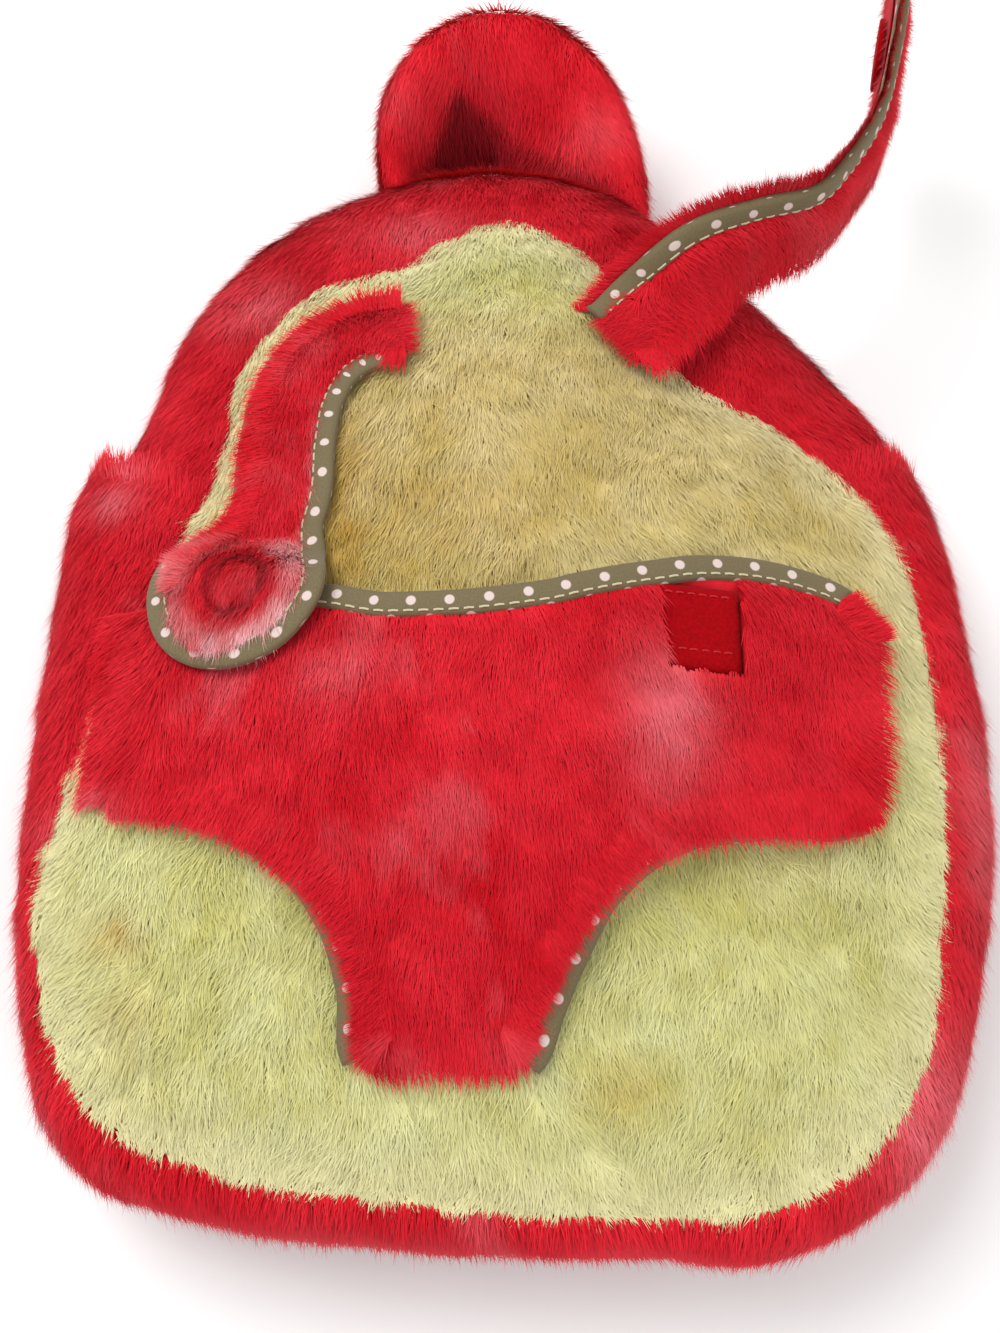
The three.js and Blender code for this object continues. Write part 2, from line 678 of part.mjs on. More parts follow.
function rightStrapAxes(run) {
  const share = THREE.MathUtils.clamp(run / rightLength, 0, 1);
  const ahead = rightCurve.getTangentAt(share);
  const turn = readTable(freeLine, "turn", rightCurve.getUtoTmapping(share));
  const side = new THREE.Vector3(0, 0, 1).cross(ahead).normalize();
  side.applyAxisAngle(ahead, THREE.MathUtils.degToRad(turn));
  const out = new THREE.Vector3().crossVectors(ahead, side);
  const spot = rightCurve.getPointAt(share).addScaledVector(ahead, run - share * rightLength);
  return new THREE.Matrix4().makeBasis(ahead, side, out).setPosition(spot);
}

// The free strap lies on the bag near its root and stands off it further on.
function rightStrapPlace(point, height) {
  const spot = new THREE.Vector3(0, point.y, height).applyMatrix4(rightStrapAxes(point.x));
  spot.z = Math.max(spot.z, frontHeight(spot.x, spot.y) + layGap + height);
  return spot;
}

// Shoulder strap: a padded strip, flat below, along its middle line.
function shoulderPad(mirror) {
  const spot = (share) => new THREE.Vector3(
    mirror * bagWidth / 2 * readTable(padLine, "x", share),
    bagHeight / 2 * readTable(padLine, "y", share),
    0,
  );
  const sheet = (raised) => (along, across) => {
    const ahead = directionAt(spot, along);
    const aside = (2 * across - 1) * padWidth / 2 * readTable(padLine, "wide", along);
    const point = spot(along).addScaledVector(new THREE.Vector3(-ahead.y, ahead.x, 0), aside);
    point.z = raised ? THREE.MathUtils.lerp(padThickness, padEdge, (2 * across - 1) ** 4) : 0;
    return point;
  };
  return wallBetween(sheet(true), sheet(false), 14, 4);
}

// The ladder lock sits just past the strap's end.
const padEnd = padLine[padLine.length - 1];
const adjusterHalf = adjusterBar * 1.5 + adjusterSlot;
const adjusterX = bagWidth / 2 * padEnd.x;
const adjusterY = bagHeight / 2 * padEnd.y - adjusterHalf - seamGap;

// Ladder lock: a flat frame with two slots.
function strapAdjuster(mirror) {
  const frame = new THREE.Shape();
  const halfWidth = adjusterWidth / 2;
  frame.moveTo(-halfWidth, -adjusterHalf);
  frame.lineTo(halfWidth, -adjusterHalf);
  frame.lineTo(halfWidth, adjusterHalf);
  frame.lineTo(-halfWidth, adjusterHalf);
  const slotHalf = webbingWidth / 2 + 3 * seamGap;
  for (const lowest of [-adjusterBar / 2 - adjusterSlot, adjusterBar / 2]) {
    const slot = new THREE.Path();
    slot.moveTo(-slotHalf, lowest);
    slot.lineTo(-slotHalf, lowest + adjusterSlot);
    slot.lineTo(slotHalf, lowest + adjusterSlot);
    slot.lineTo(slotHalf, lowest);
    frame.holes.push(slot);
  }
  const plate = new THREE.ExtrudeGeometry(frame, { depth: adjusterThickness, bevelEnabled: false });
  return plate.translate(mirror * adjusterX, adjusterY, adjusterLevel);
}

// Webbing: from its tail through the ladder lock to the back seam.
function strapWebbing(mirror) {
  const bearing = mirror > 0 ? webbingSeamBearing : 540 - webbingSeamBearing;
  const seamReach = readOutline(bearing, "rim") - shareOf(backInset, bearing);
  const low = webbingThickness / 2 + seamGap;
  const level = adjusterLevel + adjusterThickness / 2;
  const high = adjusterLevel + adjusterThickness + 2 * seamGap + webbingThickness / 2;
  const slotMiddle = (adjusterBar + adjusterSlot) / 2;
  const x = mirror * adjusterX;
  const points = [
    new THREE.Vector3(x, adjusterY + adjusterHalf - seamGap, low),
    new THREE.Vector3(x, adjusterY + adjusterHalf - adjusterBar / 2, low),
    new THREE.Vector3(x, adjusterY + slotMiddle, level),
    new THREE.Vector3(x, adjusterY, high),
    new THREE.Vector3(x, adjusterY - slotMiddle, level),
    new THREE.Vector3(x, adjusterY - adjusterHalf + adjusterBar / 2, low),
    new THREE.Vector3(x, adjusterY - adjusterHalf - adjusterBar, low),
    bagPoint(bearing, seamReach, backZ - seamGap - webbingThickness / 2),
  ];
  const curve = new THREE.CatmullRomCurve3(points);
  const rings = [];
  for (let i = 0; i <= 24; i += 1) {
    const ahead = curve.getTangent(i / 24);
    const side = new THREE.Vector3(0, 0, 1).cross(ahead).normalize();
    const up = new THREE.Vector3().crossVectors(ahead, side);
    rings.push([[1, 1], [-1, 1], [-1, -1], [1, -1]].map(([a, b]) => curve.getPoint(i / 24)
      .addScaledVector(side, a * webbingWidth / 2)
      .addScaledVector(up, b * webbingThickness / 2)));
  }
  return skinOver(rings);
}

addPiece("front_panel", frontPanel(), yellowPlush);
addPiece("back_panel", backPanel(), redPlush);
addPiece("gusset_lower", gussetPart(zipTo, zipFrom + 360, 0, 1, lowerSwell, 12), redPlush);
const upperFrom = zipFrom + endGap;
const upperTo = zipTo - endGap;
addPiece("gusset_upper_front", gussetPart(upperFrom, upperTo, 0, zipFrontTurn, upperSwell, 7), redPlush);
addPiece("gusset_upper_back", gussetPart(upperFrom, upperTo, zipBackTurn, 1, upperSwell, 5), redPlush);
addPiece("zip_chain", zipChain(), redWebbing);
addPiece("zip_slider", zipBlock(sliderBearing, sliderLength, sliderThickness, sideGap), redPlastic);
const pullAhead = (sliderLength + pullLength + 2 * pullSpace) / bagWidth;
const pullBearing = sliderBearing + THREE.MathUtils.radToDeg(pullAhead);
addPiece("zip_pull", zipBlock(pullBearing, pullLength, pullThickness, sideGap), redPlastic);
addPiece("grab_handle", grabHandle(), redPlush);

const pockets = [patchRightAxes, patchLeftAxes].map((axes) => (
  patchBlock(axes, pocketSize, harnessWall, pocketFloor)));
addPiece("harness_body", cutAway(harnessShape(), ...pockets), redPlush);
addPiece("harness_binding_top", harnessTape("top", topTapeRows, 30), dottedTape);
addPiece("harness_binding_left_leg", harnessTape("low", leftLegRows, 18), dottedTape);
addPiece("harness_binding_right_leg", harnessTape("low", rightLegRows, 22), dottedTape);
const loopPatch = (axes) => patchBlock(axes, patchSize, patchThickness, -patchSink);
addPiece("closure_patch_right", loopPatch(patchRightAxes), loopFelt);
addPiece("closure_patch_left", loopPatch(patchLeftAxes), loopFelt);
const tabFloor = -patchSink + patchThickness + patchCutGap;
addPiece("hook_tab_left", tabDisc(patchLeftAxes, tabFloor, -tabFloor), loopFelt);
addPiece("harness_strap_left", strapShape(leftStrapPlace, leftLength), redPlush);
addPiece("harness_strap_left_binding", strapTape(leftStrapPlace, leftLength), dottedTape);
addPiece("harness_strap_right", strapShape(rightStrapPlace, rightLength), redPlush);
addPiece("harness_strap_right_binding", strapTape(rightStrapPlace, rightLength), dottedTape);
const tabAxes = rightStrapAxes(rightLength - strapEndRadius);
addPiece("hook_tab_right", tabDisc(tabAxes, tabFloor - layGap, -tabFloor), loopFelt);

for (const [side, mirror] of [["left", -1], ["right", 1]]) {
  addPiece(`shoulder_strap_${side}`, shoulderPad(mirror), redPlush);
  addPiece(`strap_adjuster_${side}`, strapAdjuster(mirror), redPlastic);
  addPiece(`strap_webbing_${side}`, strapWebbing(mirror), redWebbing);
}

// The origin is the middle of the underside of the whole box.
const box = new THREE.Box3().setFromObject(group);
const middle = box.getCenter(new THREE.Vector3());
group.position.set(-middle.x, -middle.y, -box.min.z);
group.updateMatrixWorld(true);

export default group;
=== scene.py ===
import math

import bmesh
import bpy
import numpy as np
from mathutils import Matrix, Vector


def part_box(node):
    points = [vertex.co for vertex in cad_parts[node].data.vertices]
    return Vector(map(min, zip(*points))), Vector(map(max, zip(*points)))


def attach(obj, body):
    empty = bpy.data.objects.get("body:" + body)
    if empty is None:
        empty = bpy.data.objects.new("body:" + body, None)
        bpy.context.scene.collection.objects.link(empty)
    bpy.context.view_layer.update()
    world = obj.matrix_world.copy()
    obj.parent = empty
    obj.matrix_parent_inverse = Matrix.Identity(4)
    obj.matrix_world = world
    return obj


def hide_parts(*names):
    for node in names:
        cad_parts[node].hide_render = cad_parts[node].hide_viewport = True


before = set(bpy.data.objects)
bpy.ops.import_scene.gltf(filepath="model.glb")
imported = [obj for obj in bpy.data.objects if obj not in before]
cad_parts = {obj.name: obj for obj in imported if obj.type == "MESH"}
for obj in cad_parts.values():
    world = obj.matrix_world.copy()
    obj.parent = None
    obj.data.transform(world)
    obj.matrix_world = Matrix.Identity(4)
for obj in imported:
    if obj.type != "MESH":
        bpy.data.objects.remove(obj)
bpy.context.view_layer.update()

# Lengths are in millimetres in the maker's own frame, and become metres where a mesh is made.
bag = {
    "halfWidth": 156.0,
    "halfHeight": 189.0,
    "backZ": 9.4,
    "rimZ": 42.4,
    "zipZ": 33.4,
    "seamRise": 57.0,
    "rimRise": 33.0,
    "topSink": 6.0,
    "dome": 24.0,
    "domePower": 2.5,
    "backInset": 16.0,
    "backWall": 6.0,
    "zipFrom": 22.5,
    "zipTo": 157.5,
    "leftPuff": 6.0,
    "rightPuff": 3.0,
    "upperTuck": 4.0,
    "puffSpread": 13.0,
}

# Reach of the front seam and of the widest line at every 15 degrees of bearing.
outlineRows = np.array([
    [0.87, 1.0], [0.83, 0.98], [0.74, 0.95], [0.66, 0.93], [0.67, 0.95], [0.8, 1.01],
    [0.86, 1.03], [0.79, 1.03], [0.81, 1.02], [0.79, 0.99], [0.69, 0.94], [0.69, 0.96],
    [0.75, 0.97], [0.88, 1.01], [1.03, 1.1], [1.09, 1.19], [1.01, 1.09], [0.94, 1.01],
    [0.93, 0.99], [0.97, 1.03], [1.06, 1.14], [1.08, 1.18], [0.98, 1.11], [0.91, 1.05],
])

# Hollows and swells of the panel: x, y and size as shares of the half sizes, rise as one of the dome.
panelForms = [
    (-0.72, -0.55, 0.14, -0.13), (-0.42, 0.42, 0.26, -0.12), (0.55, -0.62, 0.3, 0.08),
    (-0.45, -0.78, 0.22, 0.06), (0.1, 0.62, 0.22, 0.06), (0.1, -0.72, 0.16, -0.06),
]


def linear(red, green, blue):
    # A display colour from 0 to 255 as linear light: ((c + 0.055) / 1.055) to the power 2.4.
    shown = np.array([red, green, blue]) / 255.0
    return np.where(shown <= 0.04045, shown / 12.92, ((shown + 0.055) / 1.055) ** 2.4)


def smoothRamp(value, low, high):
    # 0 below low, 1 above high, and 3s^2 - 2s^3 between them.
    s = np.clip((value - low) / (high - low), 0.0, 1.0)
    return s * s * (3.0 - 2.0 * s)


def blend(low, high, share):
    # low + (high - low) * share.
    return low + (high - low) * share


def unit(vectors):
    # v / |v|.
    return vectors / np.maximum(np.linalg.norm(vectors, axis=-1, keepdims=True), 1e-9)


def cubic(b, c, slopeIn, slopeOut, t):
    # The cubic b + t (in + t (square + t cube)) from b to c with these slopes at its ends.
    square = 3.0 * (c - b) - 2.0 * slopeIn - slopeOut
    cube = 2.0 * (b - c) + slopeIn + slopeOut
    return b + t * (slopeIn + t * (square + t * cube))


def throughFour(a, b, c, d, t):
    # The cubic from b to c whose slopes there are (c - a) / 2 and (d - b) / 2.
    return cubic(b, c, (c - a) / 2.0, (d - b) / 2.0, t)


def readRows(rows, share):
    # A smooth reading of a table's rows, its first at share 0 and its last at 1.
    last = len(rows) - 1
    place = np.clip(share, 0.0, 1.0) * last
    row = np.minimum(np.floor(place).astype(int), last - 1)
    near = [rows[np.clip(row + k, 0, last)] for k in (-1, 0, 1, 2)]
    return throughFour(*near, (place - row)[..., None])


def readOutline(bearing):
    # The same reading of a table that closes on itself, by bearing in degrees.
    count = len(outlineRows)
    place = np.mod(np.asarray(bearing, float) / 360.0, 1.0) * count
    row = np.floor(place).astype(int)
    near = [outlineRows[np.mod(row + k, count)] for k in (-1, 0, 1, 2)]
    seamAndRim = throughFour(*near, (place - row)[..., None])
    return seamAndRim[..., 0], seamAndRim[..., 1]


def cloud(x, y, size, seed):
    # Smooth random values from -1 to 1: a lattice of random numbers, blended with 3s^2 - 2s^3.
    lattice = np.random.default_rng(seed).uniform(-1.0, 1.0, (61, 67))
    u = np.asarray(x) / size + 700.3
    v = np.asarray(y) / size + 900.7
    i = np.floor(u).astype(int)
    j = np.floor(v).astype(int)
    fu = smoothRamp(u - i, 0.0, 1.0)
    fv = smoothRamp(v - j, 0.0, 1.0)
    corner = lambda di, dj: lattice[np.mod(i + di, 61), np.mod(j + dj, 67)]
    return blend(blend(corner(0, 0), corner(1, 0), fu), blend(corner(0, 1), corner(1, 1), fu), fv)


def shareOf(length, bearing):
    # A length along a bearing, as a share of the half sizes.
    angle = np.radians(bearing)
    return length / np.hypot(bag["halfWidth"] * np.cos(angle), bag["halfHeight"] * np.sin(angle))


def bagPoint(bearing, reach, z):
    # (half width * reach * cos, half height * reach * sin, z).
    angle = np.radians(bearing)
    x = bag["halfWidth"] * reach * np.cos(angle)
    y = bag["halfHeight"] * reach * np.sin(angle)
    return np.stack(np.broadcast_arrays(x, y, z), axis=-1)


def seamHeight(y):
    # Level at the lower half, and sinking by a smooth ramp to the top.
    return bag["backZ"] + bag["seamRise"] - bag["topSink"] * smoothRamp(y, 0.0, bag["halfHeight"])


def panelHeight(x, y, fullness):
    # The seam's height plus the dome: 1 - fullness^2.5, with round hollows and swells.
    rise = 1.0 - fullness ** bag["domePower"]
    for formX, formY, size, height in panelForms:
        away = np.hypot(x / bag["halfWidth"] - formX, y / bag["halfHeight"] - formY) / size
        rise = rise + height * np.exp(-away ** 2) * (1.0 - fullness ** 4)
    return seamHeight(y) + bag["dome"] * rise


def bearingAndReach(x, y):
    # Polar place in shares of the half sizes: degrees and hypotenuse.
    across, along = x / bag["halfWidth"], y / bag["halfHeight"]
    return np.degrees(np.arctan2(along, across)), np.hypot(across, along)


def frontHeight(x, y):
    # Height of the bag's front: the panel inside the seam, and a quarter ellipse out to the rim.
    bearing, reach = bearingAndReach(x, y)
    seam, rim = readOutline(bearing)
    slope = np.clip((reach - seam) / (rim - seam), 0.0, 1.0)
    shoulder = bag["rimZ"] + (seamHeight(y) - bag["rimZ"]) * np.sqrt(1.0 - slope ** 2)
    return np.where(reach <= seam, panelHeight(x, y, np.minimum(reach / seam, 1.0)), shoulder)


def gussetPoint(bearing, turn, depth, swell):
    # Turn 0 to 0.5 is a quarter ellipse from the seam to the rim, and 0.5 to 1 one to the back seam.
    bearing, turn, depth, swell = np.broadcast_arrays(bearing, turn, depth, swell)
    seam, rim = readOutline(bearing)
    angle = np.pi * turn
    front = turn < 0.5
    inner = np.where(front, seam, rim - shareOf(bag["backInset"], bearing))
    outer = rim + shareOf(swell - depth, bearing)
    frontEnd = seamHeight(bagPoint(bearing, seam, 0.0)[..., 1]) - depth
    end = np.where(front, frontEnd, bag["backZ"] + depth)
    reach = inner + (outer - inner) * np.sin(angle)
    return bagPoint(bearing, reach, bag["rimZ"] + (end - bag["rimZ"]) * np.abs(np.cos(angle)))


def swellBeside(bearing, at, amount):
    # amount * exp(-((bearing - at) / spread)^2).
    return amount * np.exp(-((bearing - at) / bag["puffSpread"]) ** 2)


def lowerSwell(bearing):
    # The lower gusset swells at both ends of the zip.
    left = swellBeside(bearing, bag["zipTo"], bag["leftPuff"])
    return left + swellBeside(bearing, bag["zipFrom"] + 360.0, bag["rightPuff"])


def upperSwell(bearing):
    # The upper one is drawn in at the zip's left end.
    return -swellBeside(bearing, bag["zipTo"], bag["upperTuck"])


def meshGrid(along, across):
    # Shares along and across a surface, as two arrays of its grid's shape.
    return np.meshgrid(np.linspace(0.0, 1.0, along), np.linspace(0.0, 1.0, across), indexing="ij")


def wallRings(face, under):
    # Rings that run across a sheet's face and back over its underside.
    return np.concatenate([face, under[:, ::-1]], axis=1)


# The row's frame is the maker's frame moved, so the back panel's own place gives the move.
backLow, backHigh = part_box("back_panel")
backBearing = np.arange(0.0, 360.0, 7.5)
backEdge = bagPoint(backBearing, readOutline(backBearing)[1] - shareOf(bag["backInset"], backBearing), 0.0)
moved = np.array([
    (backLow.x + backHigh.x) * 500.0 - (backEdge[:, 0].min() + backEdge[:, 0].max()) / 2.0,
    (backLow.y + backHigh.y) * 500.0 - (backEdge[:, 1].min() + backEdge[:, 1].max()) / 2.0,
    backLow.z * 1000.0 - bag["backZ"],
])
print("frame moved by", np.round(moved, 3))


def rowPlace(points):
    # From the maker's millimetres to the row's metres, never under the surface that it lies on.
    placed = (points + moved) / 1000.0
    placed[..., 2] = np.maximum(placed[..., 2], 0.0)
    return placed


def addMesh(name, points, corners, sizes, material, tone=None, normals=None, uv=None):
    # One mesh object from whole arrays: corners lists each face's points, and sizes how many each has.
    mesh = bpy.data.meshes.new(name)
    mesh.vertices.add(len(points))
    mesh.vertices.foreach_set("co", rowPlace(points).astype(np.float32).ravel())
    mesh.loops.add(len(corners))
    mesh.loops.foreach_set("vertex_index", corners.astype(np.int32))
    mesh.polygons.add(len(sizes))
    starts = np.concatenate([[0], np.cumsum(sizes)[:-1]])
    mesh.polygons.foreach_set("loop_start", starts.astype(np.int32))
    mesh.polygons.foreach_set("use_smooth", np.full(len(sizes), True))
    mesh.update(calc_edges=True)
    if uv is not None:
        layer = mesh.uv_layers.new(name="clothMap")
        layer.data.foreach_set("uv", uv.astype(np.float32).ravel())
    if tone is not None:
        layer = mesh.color_attributes.new(name="pileTone", type="FLOAT_COLOR", domain="POINT")
        opaque = np.hstack([tone, np.ones((len(tone), 1))])
        layer.data.foreach_set("color", opaque.astype(np.float32).ravel())
    mesh.materials.append(material)
    if normals is not None:
        mesh.normals_split_custom_set_from_vertices(normals.astype(np.float32))
    piece = bpy.data.objects.new(name, mesh)
    bpy.context.scene.collection.objects.link(piece)
    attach(piece, "root")
    return piece


def addBody(name, rings, material, capped=True, tone=None, uv=None, welded=False):
    # A closed body over rings of points: quads between rings, and strips across its first and last.
    count, around = rings.shape[:2]
    i, j = np.meshgrid(np.arange(count - 1), np.arange(around), indexing="ij")
    nextJ = (j + 1) % around
    row, nextRow = i * around, (i + 1) * around
    quads = np.stack([row + j, nextRow + j, nextRow + nextJ, row + nextJ], axis=-1).reshape(-1, 4)
    uvQuads = None
    if uv is not None:
        closed = np.concatenate([uv, uv[:, :1]], axis=1)
        closed[:, -1, 1] = 2 * uv[:, -1, 1] - uv[:, -2, 1]
        uvQuads = np.stack([closed[i, j], closed[i + 1, j], closed[i + 1, j + 1], closed[i, j + 1]], axis=2)
        uvQuads = uvQuads.reshape(-1, 4, 2)
    if capped:
        k = np.arange(around // 2 - 1)
        start = np.stack([k, k + 1, around - 2 - k, around - 1 - k], axis=-1)
        end = (start + (count - 1) * around)[:, ::-1]
        quads = np.concatenate([quads, start, end])
        if uv is not None:
            flat = uv.reshape(-1, 2)
            uvQuads = np.concatenate([uvQuads, flat[start], flat[end]])
    points = rings.reshape(-1, 3)
    a, b, c, d = (points[quads[:, k]] for k in range(4))
    volume = np.einsum("ij,ij->i", a, np.cross(b, c)).sum() + np.einsum("ij,ij->i", a, np.cross(c, d)).sum()
    if volume < 0:
        quads = quads[:, ::-1]
        uvQuads = None if uvQuads is None else uvQuads[:, ::-1]
    sizes = np.full(len(quads), 4)
    loose = None if uvQuads is None else uvQuads.reshape(-1, 2)
    piece = addMesh(name, points, quads.ravel(), sizes, material, tone=tone, uv=loose)
    if welded:
        form = bmesh.new()
        form.from_mesh(piece.data)
        bmesh.ops.remove_doubles(form, verts=form.verts, dist=1e-6)
        form.to_mesh(piece.data)
        form.free()
    return piece


def scatter(grid, count, rng, weight=None):
    # Roots spread by area over a grid's cells, with each one's normal and its shares along and across.
    a, b, c, d = grid[:-1, :-1], grid[1:, :-1], grid[1:, 1:], grid[:-1, 1:]
    crossed = np.cross(c - a, d - b)
    area = np.linalg.norm(crossed, axis=-1)
    chance = area if weight is None else area * weight
    total = np.cumsum(chance.ravel())
    picks = np.searchsorted(total, (np.arange(count) + rng.random(count)) / count * total[-1] * 0.999999)
    i, j = np.divmod(picks, area.shape[1])
    u, v = rng.random(count), rng.random(count)
    near, far = blend(a[i, j], b[i, j], u[:, None]), blend(d[i, j], c[i, j], u[:, None])
    spots = blend(near, far, v[:, None])
    normals = crossed[i, j] / np.maximum(area[i, j], 1e-9)[:, None]
    return spots, normals, (i + u) / area.shape[0], (j + v) / area.shape[1]


def growPile(spots, normals, comb, pile, rng, trim=1.0):
    # Each strand is one slim triangle. The cloth swells into tufts by cloud noise, and the strand
    # leaves it at its lift angle along the comb. The loose ones are finer and stand up more.
    count = len(spots)
    x, y = spots[:, 0] + 0.6 * spots[:, 2], spots[:, 1] - 0.45 * spots[:, 2]
    size = pile["tuftSize"]
    swell = lambda u, v: pile["relief"] * (
        1.0 + 0.7 * cloud(u, v, size, 15) + 0.35 * cloud(u, v, size / 2.3, 16))
    rise = swell(x, y)
    slope = np.stack([swell(x + 0.7, y) - rise, swell(x, y + 0.7) - rise, 0.0 * rise], axis=-1) / 0.7
    loose = rng.random(count) < pile["loose"]
    along = unit(comb - normals * np.einsum("ij,ij->i", comb, normals)[:, None])
    beside = np.cross(normals, along)
    waves = 0.8 * cloud(x, y, 2.4 * size, 11) + 0.6 * cloud(x, y, size, 12)
    yaw = (pile["stray"] * (0.5 * rng.normal(size=count) + waves))[:, None]
    along, beside = along * np.cos(yaw) + beside * np.sin(yaw), beside * np.cos(yaw) - along * np.sin(yaw)
    lift = pile["lift"] + 3.0 * rng.normal(size=count) + 4.0 * cloud(x, y, size, 14)
    lift = np.radians(lift + pile["looseLift"] * loose)[:, None]
    uneven = 1.0 + pile["uneven"] * rng.normal(size=count) + 0.12 * cloud(x, y, size, 13)
    length = (pile["length"] * trim * np.clip(uneven, 0.4, 1.6))[:, None]
    width = pile["width"] * np.where(loose, 0.6, 1.0) * (0.7 + 0.6 * rng.random(count))
    half = beside * (width / 2.0)[:, None]
    roots = spots + normals * rise[:, None]
    tips = roots + (along * np.cos(lift) + normals * np.sin(lift)) * length
    shade = unit(normals - slope + 0.12 * (rng.random((count, 3)) - 0.5))
    return np.stack([roots + half, roots - half, tips], axis=1), np.repeat(shade[:, None], 3, axis=1)


def pileObject(name, points, shading, tones, material):
    # The strands of a piece as one mesh of triangles.
    count = len(points) * 3
    piece = addMesh(
        name, points.reshape(-1, 3), np.arange(count), np.full(count // 3, 3), material,
        tone=tones.reshape(-1, 3), normals=shading.reshape(-1, 3),
    )
    return piece


def strandTones(tip, root):
    # A strand's colours at its three points: its tone times the root's share, twice, and its tone. The
    # darker root is painted shade.
    return np.stack([tip * root, tip * root, tip], axis=1)


# Roots as shares of the tip's tone: painted shade deep in the pile, darker and deeper in tint.
yellowRootShade = np.array([0.96, 0.93, 0.86])
redRootShade = np.array([0.88, 0.66, 0.66])


def nodeMaterial(name, roughness, sheen=0.0, sheenRoughness=0.4, specular=0.3):
    # A new material, its tree and its shader, with what is the same all over set on the shader.
    material = bpy.data.materials.new(name)
    material.use_nodes = True
    tree = material.node_tree
    shader = tree.nodes["Principled BSDF"]
    shader.inputs["Roughness"].default_value = roughness
    shader.inputs["Specular IOR Level"].default_value = specular
    shader.inputs["Sheen Weight"].default_value = sheen
    shader.inputs["Sheen Roughness"].default_value = sheenRoughness
    return material, tree, shader


def addNode(tree, kind, **values):
    # A node with its settings and its inputs' values given by name.
    node = tree.nodes.new(kind)
    for key, value in values.items():
        if key in node.inputs:
            node.inputs[key].default_value = value
        else:
            setattr(node, key, value)
    return node


def pileMaterial(name, sheen, fleck):
    # Plush: the strand's own tone, mottled by noise, with a roughness that varies and a soft sheen.
    material, tree, shader = nodeMaterial(name, 0.8, sheen=sheen, sheenRoughness=0.5, specular=0.08)
    place = addNode(tree, "ShaderNodeTexCoord")
    tone = addNode(tree, "ShaderNodeAttribute", attribute_name="pileTone")
    mottle = addNode(tree, "ShaderNodeTexNoise", Scale=420.0, Detail=2.0, Roughness=0.6)
    tree.links.new(place.outputs["Object"], mottle.inputs["Vector"])
    ramp = addNode(tree, "ShaderNodeMapRange")
    ramp.inputs["From Min"].default_value = 0.3
    ramp.inputs["From Max"].default_value = 0.7
    ramp.inputs["To Min"].default_value = 1.0 - fleck
    ramp.inputs["To Max"].default_value = 1.0 + fleck
    tree.links.new(mottle.outputs["Fac"], ramp.inputs["Value"])
    shade = addNode(tree, "ShaderNodeVectorMath", operation="SCALE")
    tree.links.new(tone.outputs["Color"], shade.inputs[0])
    tree.links.new(ramp.outputs["Result"], shade.inputs["Scale"])
    tree.links.new(shade.outputs["Vector"], shader.inputs["Base Color"])
    gloss = addNode(tree, "ShaderNodeMapRange")
    gloss.inputs["To Min"].default_value = 0.68
    gloss.inputs["To Max"].default_value = 0.92
    tree.links.new(mottle.outputs["Fac"], gloss.inputs["Value"])
    tree.links.new(gloss.outputs["Result"], shader.inputs["Roughness"])
    grain = addNode(tree, "ShaderNodeTexNoise", Scale=1500.0, Detail=2.0)
    tree.links.new(place.outputs["Object"], grain.inputs["Vector"])
    bump = addNode(tree, "ShaderNodeBump", Strength=0.12, Distance=0.0003)
    tree.links.new(grain.outputs["Fac"], bump.inputs["Height"])
    tree.links.new(bump.outputs["Normal"], shader.inputs["Normal"])
    return material


yellowPile = pileMaterial("yellowPlushPile", 0.2, 0.035)
redPile = pileMaterial("redPlushPile", 0.05, 0.05)


def wovenMaterial(name, colour, ribScale, roughness, ribDepth=0.0002):
    # Woven cloth: fine ribs across the map and threads along it, in colour and in bump.
    material, tree, shader = nodeMaterial(name, roughness, sheen=0.2, specular=0.25)
    place = addNode(tree, "ShaderNodeUVMap", uv_map="clothMap")
    both = addNode(tree, "ShaderNodeMath", operation="MULTIPLY")
    for factor, (direction, scale) in enumerate((("X", ribScale), ("Y", ribScale * 1.4))):
        wave = addNode(tree, "ShaderNodeTexWave", wave_type="BANDS", Scale=scale, Distortion=0.4)
        wave.bands_direction = direction
        tree.links.new(place.outputs["UV"], wave.inputs["Vector"])
        tree.links.new(wave.outputs["Fac"], both.inputs[factor])
    mix = addNode(tree, "ShaderNodeMix", data_type="RGBA")
    mix.inputs["A"].default_value = (*(colour * 0.7), 1.0)
    mix.inputs["B"].default_value = (*(colour * 1.15), 1.0)
    tree.links.new(both.outputs["Value"], mix.inputs["Factor"])
    tree.links.new(mix.outputs["Result"], shader.inputs["Base Color"])
    bump = addNode(tree, "ShaderNodeBump", Strength=0.6, Distance=ribDepth)
    tree.links.new(both.outputs["Value"], bump.inputs["Height"])
    tree.links.new(bump.outputs["Normal"], shader.inputs["Normal"])
    return material


